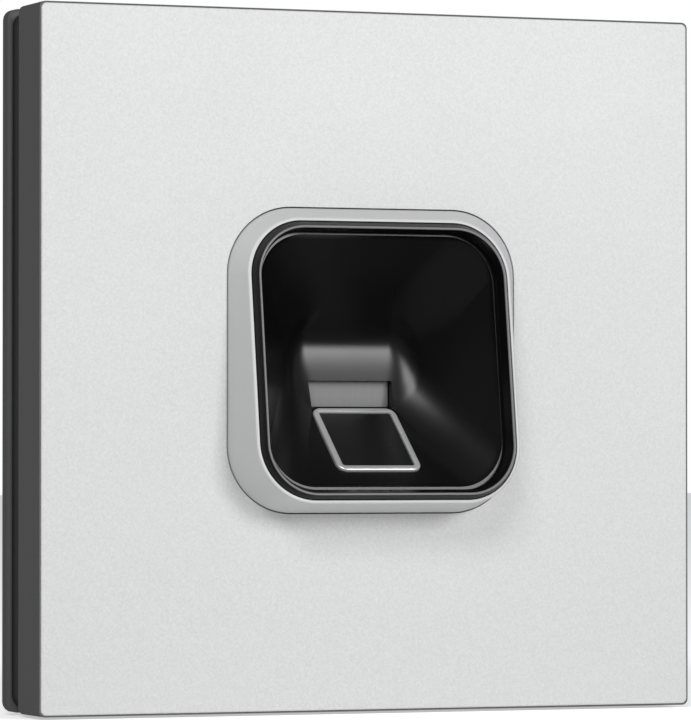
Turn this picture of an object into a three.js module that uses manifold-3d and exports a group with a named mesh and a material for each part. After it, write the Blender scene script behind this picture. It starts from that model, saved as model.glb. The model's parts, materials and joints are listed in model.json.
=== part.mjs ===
// Fingerprint scanner terminal: a square wall module with an aluminium face and a finger funnel.
// Millimetres. X runs to the right seen from the front, Z is up, and the front faces -Y.
// The origin is the centre of the wall plate's back, in the wall's plane.
import * as THREE from "three";
import { mergeVertices } from "three/addons/utils/BufferGeometryUtils.js";
import Module from "manifold-3d";

const wasm = await Module();
wasm.setup();

// Overall sizes.
const FACE_SIZE = 106.5;
const FACE_TO_WALL = 17.8;
const PLATE_THICKNESS = 2.7;
const NECK_DEPTH = 4.35;
const NECK_INSET = 0.6;

// Clearances.
const REST_GAP = 0.05; // between flat faces that bear on each other
const FIT_GAP = 0.15; // round a piece that drops into its seat
const SLIDE_GAP = 0.25; // round a piece that slides
const SCREW_GAP = 0.08; // round a screw's shank
const SCREW_TIP_GAP = 0.3; // left at the bottom of a blind hole

// How far a cutting solid runs past what it cuts, and how far joined solids sink into each other.
const OVERRUN = 1;
const FUSE = 0.5;

// Carrier frame and the aluminium sheet on it.
const CARRIER_CORNER = 0.9;
const CARRIER_WALL = 2.2;
const CARRIER_REAR_BEVEL = 0.7;
const LIP_WIDTH = 0.18;
const LIP_SETBACK = 0.2;
const SHEET_THICKNESS = 1;
const SHEET_BEVEL = 0.25;
const ADHESIVE_THICKNESS = 0.25;
const ADHESIVE_MARGIN = 3;
const WEB_THICKNESS = 2.5;
const PILOT_FLOOR = 0.3; // left under a blind screw hole

// Collar round the funnel. Its front edge lies in a plane that leans back at the top.
const COLLAR_WIDTH = 46.9;
const COLLAR_HEIGHT = 46.2;
const COLLAR_RADIUS = 10.2;
const COLLAR_TAPER = 2;
const COLLAR_REACH = 5.34; // from the face to the collar's front edge, at mid height
const COLLAR_EDGE = 0.25;
const COLLAR_WALL = 0.5; // at the front edge
const RIM_SLOPE = 0.145; // depth gained for each millimetre of height
const FLANGE_MARGIN = 4.6;
const FLANGE_THICKNESS = 1.2;
const FLANGE_RADIUS = 5;
const SEAL_THICKNESS = 0.5;
const SEAL_WIDTH = 1.7;
const BORE_RISE = 0.5; // the bore is this much taller than the collar's taper would leave it
const BORE_ROUNDING = 0.4;
const CLAMP_INSET = 3.4; // of the clamp screws, from the flange's edge

// Funnel insert.
const RIM_REACH = 6.75; // from the face to the rim's crest, at mid height
const RIM_CHAMFER = 0.75;
const RING_WALL = 1.2;
const RIM_DEPTH = 1.9;
const SHELL_WALL = 1.5;
const FUNNEL_DEPTH = 10.5; // from the face to the deepest wall
const LIP_INSET = 0.9; // from the crest to where the funnel's wall begins
const LIP_DEPTH = 0.7;
const CEILING_LIP_DEPTH = 2.6;
const HEEL_SETBACK = 3.1; // of the heel, where the fillet starts, in front of the deepest wall
const HEEL_TOP_Z = 8.2;
const HEEL_HALF_WIDTH = 11.3;
const HEEL_RADIUS = 7;
const END_TOP_Z = 4.2; // where the ceiling's tangent meets the deepest wall
const END_BOTTOM_Z = 0.5; // where the floor's tangent meets it
const END_SIDE = 9.2; // where the sides' tangents meet it
const END_Z = 3; // of the deepest line
const END_HALF_WIDTH = 6.5;
const END_ROUNDNESS = 0.45; // share of a fillet level's height that its corners take
const FILLET_STEPS = 4;
const SHELL_CAP = 1.2; // behind the deepest wall

// Sensor, on a plane that rises towards the back.
const SENSOR_TILT = THREE.MathUtils.degToRad(38.7);
const SENSOR_DEPTH = 2.15; // of its centre, behind the face
const SENSOR_Z = -11.76;
const FRAME_WIDTH = 13.8;
const FRAME_LENGTH = 15.1;
const FRAME_BAND = 1;
const FRAME_THICKNESS = 1.2;
const FRAME_RADIUS = 1.6;
const FRAME_STANDOFF = 0.35;
const PAD_SETBACK = 0.2;
const PAD_THICKNESS = 0.8;
const GASKET_THICKNESS = 0.2;
const MODULE_THICKNESS = 1.1;
const BRACKET_THICKNESS = 0.8;
const SEAT_WALL = 1.2;
const EAR_REACH = 2.4;
const EAR_RADIUS = 2;
const EAR_SETBACK = 0.3;
const FRAME_OPENING_RADIUS = 0.5;
const MODULE_INSET = 0.75; // from the frame's edge, each side
const MODULE_RADIUS = 0.4;
const PRESS_INSET = 1; // from the module's edge to the bracket's pressing face
const FLEX_SLOT = 2.6;
const FLEX_OFFSET = 2.2; // from the frame's upper edge
const FLEX_WIDTH = 8;
const FLEX_THICKNESS = 0.18;
const FLEX_BEND = 2.6; // straight run before the bend
const FLEX_STEPS = 10;

// Status window in the wall above the sensor.
const WINDOW_HALF_WIDTH = 6.9;
const WINDOW_BOTTOM_Z = -7;
const WINDOW_HEIGHT = 4.1;
const WINDOW_DEPTH = 10.3; // of its front, behind the face
const WINDOW_THICKNESS = 1.3;
const WINDOW_BLOCK_SETBACK = 2.4; // of the block that frames it, in front of the deepest wall
const LED_BOARD_THICKNESS = 0.8;
const LED_HEIGHT = 0.5;
const LED_WIDTH = 1.6;
const LED_SPACING = 7;
const LED_BOARD_MARGIN = 1;

// Main board.
const BOARD_THICKNESS = 1.6;
const BOARD_MARGIN = 8.5; // from the carrier's inner wall to the board's edge
const BOARD_STANDOFF = 4.6;
const BOARD_SCREW_INSET = 4;
const BOARD_BOSS_RADIUS = 2.7;
const BOARD_CORNER = 2;
const BOARD_WINDOW_SIDE = 5.3; // from the throat to the board's window
const BOARD_WINDOW_TOP = 10.8;
const BOARD_WINDOW_BOTTOM = 2.4;
const BOARD_WINDOW_RADIUS = 1.5;

// Rear cover.
const COVER_FLOOR = 1.4;
const COVER_RADIUS = 2.2;
const TONGUE_DEPTH = 1.5;
const TONGUE_WALL = 1.4;
const HOUSING_SEAL = 0.8;
const HOUSING_SCREW_INSET = 4.6;
const HOUSING_BOSS_RADIUS = 3.2;
const SEAL_RADIUS = 1;
const TERMINAL_MARGIN = 1; // round the terminal block

// Screws.
const SCREW = { shank: 1.1, head: 2.2, headHeight: 1.3, socket: 0.75 };
const SMALL_SCREW = { shank: 0.75, head: 1.4, headHeight: 0.7, socket: 0.45 };
const SMALL_SCREW_LENGTH = 2.4;
const SCREW_POINT = 0.6; // of the shank's radius
const HEAD_CHAMFER = 0.15; // of the head's radius
const HEAD_SIDE = 0.7; // of the head's height
const SOCKET_FLOOR = 0.4; // of the head's height

// Wall plate.
const PLATE_RADIUS = 1.6;
const PLATE_EDGE = 0.4;
const SCREW_SPACING = 60;
const SLOT_WIDTH = 4.6;
const SLOT_LENGTH = 9;
const SLOT_LAND = 2.2;
const SLOT_FLAT = 0.01; // keeps the slot's ends from meeting in a point
const SLOT_LAND_DEPTH = 1.3;
const HEAD_POCKET_DEPTH = 0.7; // in the rear cover, over each wall screw's head
const CABLE_WIDTH = 38;
const CABLE_HEIGHT = 19;
const CABLE_Z = -28;
const CABLE_RADIUS = 3;
const POCKET_DEPTH = 1.2;
const POCKET_RADIUS = 1.2;
const POCKET_BOTTOM_Z = 13;
const RIB_WIDTH = 1.8;
const WALL_GASKET_WIDTH = 2.4;
const WALL_GASKET_DEPTH = 1.1;
const WALL_GASKET_INSET = 3;
const HOOK_X = 30;
const HOOK_WIDTH = 6;
const HOOK_STEM = 1.8;
const HOOK_BITE = 2;
const HOOK_TIP = 1.3;
const HOOK_INSET = 10.5;
const HOOK_PLAY = 0.5; // lets the unit swing out at the bottom before it is lifted off

// Terminal block, buzzer, connector and chips on the main board.
const TERMINAL_WIDTH = 21;
const TERMINAL_HEIGHT = 8;
const TERMINAL_WAYS = 6;
const TERMINAL_SETBACK = 0.2;
const WAY_SIZE = 2;
const WAY_DEPTH = 2.4;
const WAY_DROP = 0.8;
const DRIVER_WIDTH = 1.2;
const DRIVER_HEIGHT = 1.2;
const DRIVER_DEPTH = 0.8;
const DRIVER_RISE = 2.2;
const PROCESSOR = { width: 12, height: 12, rise: 1.2, inset: 9, z: 5 };
const MEMORY = { width: 8, height: 6, rise: 1, inset: 9, z: -9 };
const TRANSCEIVER = { width: 5, height: 6, rise: 1.4, inset: 20.5, z: -30 };
const INDUCTOR = { width: 6.4, height: 6.4, rise: 2.4, inset: 10, z: 12 };
const BUZZER = { width: 9, height: 9, rise: 2.6, z: -6 };
const BUZZER_MARGIN = 0.8; // from the funnel's flange, which it stands beside
const CONNECTOR = { margin: 1.5, height: 3.4, rise: 1.5, z: -17.6 };
const CAPACITOR = { radius: 2.6, spacing: 7.2, inset: 14, z: 24, headroom: 0.5 };

// Tamper plunger.
const TAMPER_X = 33;
const TAMPER_Z = -27;
const TAMPER_TRAVEL = 1.5;
const PLUNGER_RADIUS = 2.5;
const PLUNGER_BORE = 1.75;
const PLUNGER_FLANGE = 3.3;
const PLUNGER_FLANGE_THICKNESS = 0.55;
const PLUNGER_TIP = 1.4;
const PLUNGER_CHAMFER = 0.7;
const PLUNGER_SPRING_GAP = 0.2;
const PLUNGER_SPRING_TURNS = 5;
const SWITCH_SIZE = 7.4;
const SWITCH_HEIGHT = 0.75;

// Release latch. It bites upwards behind the wall plate, and is pulled down to let go.
const LATCH_TRAVEL = 2.5;
const LATCH_HALF_WIDTH = 4;
const LATCH_THICKNESS = 1.6;
const LATCH_TAIL_SETBACK = 3.2; // from the cover's lower edge, more than the travel
const LATCH_TOP_WALL = 1;
const LATCH_EYE_RADIUS = 0.9; // takes a hooked tool
const LATCH_EYE_RISE = 2;
const LATCH_TIP_GAP = 0.3; // from the hook to the wall
const NOSE_HALF_WIDTH = 3;
const NOSE_LENGTH = 2.5;
const CATCH_WALL = 1; // between the catch's pocket and the gasket's groove
const HOOK_LIP = 1.1;
const LATCH_BITE = 1.5;
const GUIDE_WIDTH = 1.1;
const KEEPER_THICKNESS = 0.9;
const KEEPER_HEIGHT = 4;
const POST_HALF_WIDTH = 1.2;
const POST_HEIGHT = 1.2;
const POST_RISE = 0.75; // from the nose to the post
const LATCH_SPRING_LENGTH = 4.8;
const LATCH_SPRING_TURNS = 4;

// Springs.
const SPRING_WIRE = 0.17;
const SPRING_SIDES = 4;
const SPRING_STEPS = 8; // along each turn

// Places worked out from the sizes.
const HALF = FACE_SIZE / 2;
const FACE_Y = -FACE_TO_WALL;
const PLATE_FRONT_Y = -PLATE_THICKNESS;
const CARRIER_BACK_Y = PLATE_FRONT_Y - NECK_DEPTH;
const SHEET_BACK_Y = FACE_Y + SHEET_THICKNESS;
const WEB_FRONT_Y = SHEET_BACK_Y + ADHESIVE_THICKNESS + 2 * REST_GAP;
const WEB_BACK_Y = WEB_FRONT_Y + WEB_THICKNESS;
const CARRIER_INNER = HALF - CARRIER_WALL;
const FLANGE_Y = WEB_BACK_Y + SEAL_THICKNESS + 2 * REST_GAP;
const FUNNEL_FLANGE_Y = FLANGE_Y + FLANGE_THICKNESS + REST_GAP;
const BOARD_FRONT_Y = WEB_BACK_Y + BOARD_STANDOFF + REST_GAP;
const BOARD_BACK_Y = BOARD_FRONT_Y + BOARD_THICKNESS;
const BOARD_HALF = CARRIER_INNER - BOARD_MARGIN;
const BOARD_SCREW = BOARD_HALF - BOARD_SCREW_INSET;
const LAND_HALF_WIDTH = SLOT_WIDTH / 2 + SLOT_LAND;
const LAND_HALF_LENGTH = SLOT_LENGTH / 2 + SLOT_LAND;
const SLOT_LAND_Y = PLATE_FRONT_Y + SLOT_LAND_DEPTH;
const COVER_BACK_Y = PLATE_FRONT_Y - 2 * REST_GAP;
const COVER_FLOOR_Y = COVER_BACK_Y - COVER_FLOOR;
const COVER_HALF = HALF - NECK_INSET;
const TONGUE_HALF = CARRIER_INNER - HOUSING_SEAL - REST_GAP;
const HOUSING_SCREW = CARRIER_INNER - HOUSING_SCREW_INSET;
const BORE_HALF_WIDTH = COLLAR_WIDTH / 2 - COLLAR_TAPER - COLLAR_WALL;
const BORE_HALF_HEIGHT = COLLAR_HEIGHT / 2 - COLLAR_TAPER + BORE_RISE - COLLAR_WALL;
const BORE_RADIUS = COLLAR_RADIUS - COLLAR_TAPER + BORE_ROUNDING;
const FLANGE_HALF_WIDTH = COLLAR_WIDTH / 2 + FLANGE_MARGIN;
const FLANGE_HALF_HEIGHT = COLLAR_HEIGHT / 2 + FLANGE_MARGIN;
const SENSOR_Y = FACE_Y + SENSOR_DEPTH;
const WINDOW_Y = FACE_Y + WINDOW_DEPTH;
const THROAT_Y = FACE_Y + FUNNEL_DEPTH;
const LATCH_BACK_Y = COVER_FLOOR_Y - SLIDE_GAP;
const LATCH_FRONT_Y = LATCH_BACK_Y - LATCH_THICKNESS;
const COVER_BOSS_Y = CARRIER_BACK_Y - TONGUE_DEPTH;
const COVER_INNER = TONGUE_HALF - TONGUE_WALL;
const HOOK_Z = HALF - HOOK_INSET;
const HOOK_TIP_Y = COVER_FLOOR_Y - HOOK_PLAY;
const GROOVE_INNER = HALF - WALL_GASKET_INSET - WALL_GASKET_WIDTH;
const LATCH_BOTTOM_Z = -COVER_HALF + LATCH_TAIL_SETBACK;
const NOSE_BOTTOM_Z = -GROOVE_INNER + CATCH_WALL + LATCH_TRAVEL + 2 * SLIDE_GAP;
const NOSE_TOP_Z = NOSE_BOTTOM_Z + NOSE_LENGTH;
const POST_BOTTOM_Z = NOSE_TOP_Z + POST_RISE;
const POST_TOP_Z = POST_BOTTOM_Z + POST_HEIGHT;
const LATCH_WINDOW_TOP_Z = POST_TOP_Z + LATCH_SPRING_LENGTH + 2 * REST_GAP;
const LATCH_TOP_Z = LATCH_WINDOW_TOP_Z + LATCH_TOP_WALL;
const WINDOW_TOP_Z = WINDOW_BOTTOM_Z + WINDOW_HEIGHT;
const WINDOW_BACK_Y = WINDOW_Y + WINDOW_THICKNESS;
const WINDOW_BLOCK_Y = THROAT_Y - WINDOW_BLOCK_SETBACK;
const SEAT_DEPTH = FRAME_THICKNESS + GASKET_THICKNESS + 2 * REST_GAP;
const SEAT_BACK = SEAT_DEPTH + SEAT_WALL;
const MODULE_WIDTH = FRAME_WIDTH - 2 * MODULE_INSET;
const MODULE_LENGTH = FRAME_LENGTH - 2 * MODULE_INSET;
const MODULE_TOP = -FRAME_THICKNESS - REST_GAP;
const EAR_X = FRAME_WIDTH / 2 + EAR_REACH;

// Outlines that more than one piece follows.
const COLLAR_BASE = outline(COLLAR_WIDTH / 2, COLLAR_HEIGHT / 2, COLLAR_RADIUS);
const COLLAR_BORE = outline(BORE_HALF_WIDTH, BORE_HALF_HEIGHT, BORE_RADIUS);
const RING = grown(COLLAR_BORE, -2 * REST_GAP);
const CREST = grown(RING, -RIM_CHAMFER);
const WALL_GASKET_OUTER = outline(HALF - WALL_GASKET_INSET, HALF - WALL_GASKET_INSET, SEAL_RADIUS);
const CLAMP_PLACES = corners(FLANGE_HALF_WIDTH - CLAMP_INSET, FLANGE_HALF_HEIGHT - CLAMP_INSET);

// Steps along half of a right-angled corner, and round a whole circle.
const SMALL_STEPS = 2;
const CORNER_STEPS = 3;
const RIM_STEPS = 4;
const ROUND_STEPS = 16;
const SCREW_STEPS = 12;
const SOCKET_SIDES = 6;

function material(color, roughness, metalness) {
  return new THREE.MeshStandardMaterial({ color, roughness, metalness });
}

const FINISH = {
  aluminium: material(0xd9dadc, 0.42, 0.85),
  carrier: material(0x4a4b4d, 0.55, 0),
  plate: material(0x434446, 0.6, 0),
  black: material(0x18191a, 0.45, 0),
  collar: material(0xa9abad, 0.38, 0.25),
  silver: material(0xc3c4c6, 0.25, 0.9),
  glossBlack: material(0x08090a, 0.08, 0),
  window: material(0x8f9193, 0.5, 0),
  board: material(0x1f4a31, 0.55, 0),
  chip: material(0x1b1c1e, 0.5, 0),
  steel: material(0xb2b4b6, 0.35, 0.9),
  rubber: material(0x222325, 0.85, 0),
  foam: material(0x2b2c2e, 0.95, 0),
  tape: material(0xd6d2c4, 0.7, 0),
  plastic: material(0xd8d8d4, 0.5, 0),
  flex: material(0xb8762a, 0.45, 0.1),
  terminal: material(0x3d6b4a, 0.5, 0),
};

// ---- Shapes and solids ----

/** A box from one corner, with its X limits in either order. */
function sideBlock(xa, xb, ...rest) {
  return block(Math.min(xa, xb), Math.max(xa, xb), ...rest);
}

/** A closed geometry as a solid that faces outwards. */
function solidOf(geometry) {
  const bare = geometry.clone();
  bare.deleteAttribute("normal");
  bare.deleteAttribute("uv");
  const merged = mergeVertices(bare, 1e-4);
  const vertProperties = new Float32Array(merged.attributes.position.array);
  const triVerts = new Uint32Array(merged.index.array);
  const made = new wasm.Manifold(new wasm.Mesh({ numProp: 3, vertProperties, triVerts }));
  if (made.volume() > 0) return made;
  for (let i = 0; i < triVerts.length; i += 3) {
    [triVerts[i + 1], triVerts[i + 2]] = [triVerts[i + 2], triVerts[i + 1]];
  }
  return new wasm.Manifold(new wasm.Mesh({ numProp: 3, vertProperties, triVerts }));
}

/** A solid as a geometry with flat faces. */
function geometryOf(solid) {
  const mesh = solid.getMesh();
  const geometry = new THREE.BufferGeometry();
  geometry.setAttribute("position", new THREE.BufferAttribute(new Float32Array(mesh.vertProperties), 3));
  geometry.setIndex(new THREE.BufferAttribute(new Uint32Array(mesh.triVerts), 1));
  const flat = geometry.toNonIndexed();
  flat.computeVertexNormals();
  return flat;
}

/** A rounded rectangle in the XZ plane, drawn as a shape in XY. */
function roundedShape(halfWidth, halfHeight, radius, x = 0, z = 0) {
  const shape = new THREE.Shape();
  const right = x + halfWidth - radius;
  const left = x - halfWidth + radius;
  const top = z + halfHeight - radius;
  const bottom = z - halfHeight + radius;
  shape.absarc(right, top, radius, 0, Math.PI / 2);
  shape.absarc(left, top, radius, Math.PI / 2, Math.PI);
  shape.absarc(left, bottom, radius, Math.PI, Math.PI * 1.5);
  shape.absarc(right, bottom, radius, Math.PI * 1.5, Math.PI * 2);
  shape.closePath();
  return shape;
}

/** A shape drawn in XZ, swept along Y from front to back. */
function slab(shape, frontY, backY, curveSegments = CORNER_STEPS) {
  const geometry = new THREE.ExtrudeGeometry(shape, {
    depth: backY - frontY,
    bevelEnabled: false,
    curveSegments,
  });
  geometry.rotateX(Math.PI / 2);
  geometry.translate(0, backY, 0);
  return solidOf(geometry);
}

/** A plain box between two corners. */
function block(x0, x1, y0, y1, z0, z1) {
  const geometry = new THREE.BoxGeometry(x1 - x0, y1 - y0, z1 - z0);
  geometry.translate((x0 + x1) / 2, (y0 + y1) / 2, (z0 + z1) / 2);
  return solidOf(geometry);
}

/** A round bar along Y. */
function rod(radius, frontY, backY, x, z, steps = ROUND_STEPS) {
  const geometry = new THREE.CylinderGeometry(radius, radius, backY - frontY, steps);
  geometry.translate(x, (frontY + backY) / 2, z);
  return solidOf(geometry);
}

/** A rounded rectangular ring between two outlines, swept along Y. */
function ring(outer, inner, frontY, backY, steps = CORNER_STEPS) {
  const shape = roundedShape(outer.halfWidth, outer.halfHeight, outer.radius);
  shape.holes.push(roundedShape(inner.halfWidth, inner.halfHeight, inner.radius));
  return slab(shape, frontY, backY, steps);
}

function outline(halfWidth, halfHeight, radius) {
  return { halfWidth, halfHeight, radius };
}

function grown(base, by) {
  return outline(base.halfWidth + by, base.halfHeight + by, Math.max(base.radius + by, 0.2));
}

/** The points of a rounded rectangle, each lifted to the Y that its height gives. */
function level({ halfWidth, halfHeight, radius, centreZ = 0 }, yAt, steps = RIM_STEPS) {
  const points = roundedShape(halfWidth, halfHeight, radius, 0, centreZ).getPoints(steps);
  if (points[0].distanceTo(points.at(-1)) < 1e-6) points.pop();
  return points.map((p) => new THREE.Vector3(p.x, yAt(p.y), p.y));
}

/** A solid skinned over levels of equal point count, from front to back. */
function loft(levels) {
  const count = levels[0].length;
  const position = levels.flat().flatMap((p) => p.toArray());
  const index = [];
  for (let k = 0; k + 1 < levels.length; k += 1) {
    for (let i = 0; i < count; i += 1) {
      const a = k * count + i;
      const b = k * count + ((i + 1) % count);
      index.push(a, b, a + count);
      index.push(b, b + count, a + count);
    }
  }
  const last = (levels.length - 1) * count;
  for (let i = 1; i + 1 < count; i += 1) {
    index.push(0, i + 1, i);
    index.push(last, last + i, last + i + 1);
  }
  const geometry = new THREE.BufferGeometry();
  geometry.setAttribute("position", new THREE.Float32BufferAttribute(position, 3));
  geometry.setIndex(index);
  return solidOf(geometry);
}

function unite(solids) {
  return solids.reduce((whole, next) => whole.add(next));
}

function cut(base, tools) {
  return tools.reduce((left, tool) => left.subtract(tool), base);
}

/** The four corners at a distance from the middle, with a name for each. */
function corners(distanceX, distanceZ = distanceX) {
  return [
    { corner: "top_left", x: -distanceX, z: distanceZ },
    { corner: "top_right", x: distanceX, z: distanceZ },
    { corner: "bottom_left", x: -distanceX, z: -distanceZ },
    { corner: "bottom_right", x: distanceX, z: -distanceZ },
  ];
}

const terminal = new THREE.Group();

/** Puts a solid into the scene as a named mesh. */
function place(name, solid, finish, parent = terminal) {
  const mesh = new THREE.Mesh(geometryOf(solid), finish);
  mesh.name = name;
  parent.add(mesh);
  return mesh;
}

// ---- Screws and springs ----

/** A socket-head screw along Y: its head bears at seatY and its shank points to the front. */
function screw({ shank, head, headHeight, socket }, seatY, length) {
  const tip = seatY - length;
  const profile = [
    new THREE.Vector2(0, tip),
    new THREE.Vector2(shank * SCREW_POINT, tip),
    new THREE.Vector2(shank, tip + shank * SCREW_POINT),
    new THREE.Vector2(shank, seatY),
    new THREE.Vector2(head, seatY),
    new THREE.Vector2(head, seatY + headHeight * HEAD_SIDE),
    new THREE.Vector2(head * (1 - HEAD_CHAMFER), seatY + headHeight),
    new THREE.Vector2(0, seatY + headHeight),
  ];
  const body = solidOf(new THREE.LatheGeometry(profile, SCREW_STEPS));
  const socketY = seatY + headHeight * SOCKET_FLOOR;
  return body.subtract(rod(socket, socketY, seatY + headHeight + OVERRUN, 0, 0, SOCKET_SIDES));
}

function screwMesh(name, kind, seatY, length, x, z, parent = terminal) {
  const mesh = place(name, screw(kind, seatY, length), FINISH.steel, parent);
  mesh.position.set(x, 0, z);
  return mesh;
}

class Helix extends THREE.Curve {
  constructor(radius, length, turns) {
    super();
    this.radius = radius;
    this.length = length;
    this.turns = turns;
  }

  getPoint(t, target = new THREE.Vector3()) {
    const angle = t * this.turns * Math.PI * 2;
    return target.set(this.radius * Math.cos(angle), this.radius * Math.sin(angle), t * this.length);
  }
}

/** A coil spring that rises along Z from its seat. */
function coilSpring(radius, length, turns) {
  const wire = new THREE.Shape();
  wire.absarc(0, 0, SPRING_WIRE, 0, Math.PI * 2);
  const extrudePath = new Helix(radius, length - 2 * SPRING_WIRE, turns);
  const geometry = new THREE.ExtrudeGeometry(wire, {
    steps: turns * SPRING_STEPS,
    curveSegments: SPRING_SIDES,
    extrudePath,
  });
  geometry.translate(0, 0, SPRING_WIRE);
  return solidOf(geometry);
}

// ---- Front sheet and carrier ----

function buildFrontSheet() {
  const half = HALF - LIP_WIDTH - REST_GAP;
  const edge = outline(half, half, CARRIER_CORNER);
  const blank = loft([
    level(grown(edge, -SHEET_BEVEL), () => FACE_Y, SMALL_STEPS),
    level(edge, () => FACE_Y + SHEET_BEVEL, SMALL_STEPS),
    level(edge, () => SHEET_BACK_Y, SMALL_STEPS),
  ]);
  const opening = grown(COLLAR_BASE, FIT_GAP);
  const hole = roundedShape(opening.halfWidth, opening.halfHeight, opening.radius);
  const cutter = slab(hole, FACE_Y - OVERRUN, SHEET_BACK_Y + OVERRUN, RIM_STEPS);
  place("front_sheet", blank.subtract(cutter), FINISH.aluminium);
}

function buildSheetAdhesive() {
  const half = HALF - LIP_WIDTH - ADHESIVE_MARGIN;
  const frontY = SHEET_BACK_Y + REST_GAP;
  const outer = outline(half, half, CARRIER_CORNER);
  const solid = ring(outer, grown(COLLAR_BASE, ADHESIVE_MARGIN), frontY, frontY + ADHESIVE_THICKNESS);
  place("sheet_adhesive", solid, FINISH.tape);
}

function buildCarrier() {
  const side = outline(HALF, HALF, CARRIER_CORNER);
  const rear = grown(side, -CARRIER_REAR_BEVEL);
  const body = loft([
    level(side, () => FACE_Y + LIP_SETBACK, SMALL_STEPS),
    level(side, () => CARRIER_BACK_Y - CARRIER_REAR_BEVEL, SMALL_STEPS),
    level(rear, () => CARRIER_BACK_Y, SMALL_STEPS),
  ]);
  const recess = roundedShape(HALF - LIP_WIDTH, HALF - LIP_WIDTH, CARRIER_CORNER);
  const cavity = roundedShape(CARRIER_INNER, CARRIER_INNER, CARRIER_CORNER);
  const opening = grown(COLLAR_BASE, 2 * FIT_GAP);
  const mouth = roundedShape(opening.halfWidth, opening.halfHeight, opening.radius);
  const hollow = cut(body, [
    slab(recess, FACE_Y - OVERRUN, WEB_FRONT_Y, 1),
    slab(cavity, WEB_BACK_Y, CARRIER_BACK_Y + OVERRUN, 1),
    slab(mouth, WEB_FRONT_Y - OVERRUN, WEB_BACK_Y + OVERRUN, RIM_STEPS),
  ]);
  const housingBosses = corners(HOUSING_SCREW).map(({ x, z }) =>
    rod(HOUSING_BOSS_RADIUS, WEB_BACK_Y - FUSE, COVER_BOSS_Y - REST_GAP, x, z, SCREW_STEPS),
  );
  const boardBosses = corners(BOARD_SCREW).map(({ x, z }) =>
    rod(BOARD_BOSS_RADIUS, WEB_BACK_Y - FUSE, BOARD_FRONT_Y - REST_GAP, x, z, SCREW_STEPS),
  );
  const pilotRadius = SCREW.shank + SCREW_GAP;
  const screwPlaces = [...corners(HOUSING_SCREW), ...corners(BOARD_SCREW), ...CLAMP_PLACES];
  const pilots = screwPlaces.map(({ x, z }) =>
    rod(pilotRadius, WEB_FRONT_Y + PILOT_FLOOR, CARRIER_BACK_Y + OVERRUN, x, z, SCREW_STEPS),
  );
  place("carrier_frame", cut(unite([hollow, ...housingBosses, ...boardBosses]), pilots), FINISH.carrier);
}

// ---- Collar and its seal ----

/** The plane of the rim, so far in front of the face at mid height. */
function rimPlane(reach) {
  return (z) => FACE_Y - reach + RIM_SLOPE * z;
}

function flangeSlab(frontY) {
  const shape = roundedShape(FLANGE_HALF_WIDTH, FLANGE_HALF_HEIGHT, FLANGE_RADIUS);
  const plate = slab(shape, frontY, frontY + FLANGE_THICKNESS);
  const holes = CLAMP_PLACES.map(({ x, z }) =>
    rod(SCREW.shank + SCREW_GAP, frontY - OVERRUN, frontY + FLANGE_THICKNESS + OVERRUN, x, z, SCREW_STEPS),
  );
  return cut(plate, holes);
}

function buildCollar() {
  const body = loft([
    level(grown(COLLAR_BORE, COLLAR_WALL - COLLAR_EDGE), rimPlane(COLLAR_REACH)),
    level(grown(COLLAR_BORE, COLLAR_WALL), rimPlane(COLLAR_REACH - COLLAR_EDGE)),
    level(COLLAR_BASE, () => FACE_Y),
    level(COLLAR_BASE, () => FLANGE_Y + REST_GAP),
  ]);
  const boreShape = roundedShape(BORE_HALF_WIDTH, BORE_HALF_HEIGHT, BORE_RADIUS);
  const through = slab(boreShape, FACE_Y - 2 * RIM_REACH, FUNNEL_FLANGE_Y + OVERRUN, RIM_STEPS);
  place("collar", unite([body, flangeSlab(FLANGE_Y)]).subtract(through), FINISH.collar);
}

function buildCollarSeal() {
  const frontY = WEB_BACK_Y + REST_GAP;
  const inner = grown(COLLAR_BASE, 3 * FIT_GAP);
  const solid = ring(grown(inner, SEAL_WIDTH), inner, frontY, frontY + SEAL_THICKNESS);
  place("collar_seal", solid, FINISH.rubber);
}

// ---- Funnel insert ----

/** The floor of the funnel, which runs just under the sensor frame's top. */
function floorZ(y) {
  const plane = SENSOR_Z + (y - SENSOR_Y) * Math.tan(SENSOR_TILT);
  return plane - FRAME_STANDOFF / Math.cos(SENSOR_TILT);
}

/** One level of the funnel between a bottom and a top point, grown outwards by a wall. */
function funnelLevel({ bottom, top, halfWidth, radius }, wall) {
  const lean = (top.y - bottom.y) / (top.z - bottom.z);
  const centreZ = (top.z + bottom.z) / 2;
  const size = outline(halfWidth + wall, (top.z - bottom.z) / 2 + wall, radius + wall);
  return level({ ...size, centreZ }, (z) => bottom.y + lean * (z - bottom.z));
}

/** A level of the fillet where ceiling, floor and sides meet, from 0 at the heel to 1 at its end. */
function filletLevel(share) {
  const rest = 1 - share;
  const curve = (start, corner, finish) =>
    rest * rest * start + 2 * share * rest * corner + share * share * finish;
  const heelY = THROAT_Y - HEEL_SETBACK;
  const y = curve(heelY, THROAT_Y, THROAT_Y);
  const bottom = { y, z: curve(floorZ(heelY), END_BOTTOM_Z, END_Z) };
  const top = { y, z: curve(HEEL_TOP_Z, END_TOP_Z, END_Z) };
  const radius = Math.min(HEEL_RADIUS, END_ROUNDNESS * (top.z - bottom.z));
  return { bottom, top, halfWidth: curve(HEEL_HALF_WIDTH, END_SIDE, END_HALF_WIDTH), radius };
}

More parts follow.
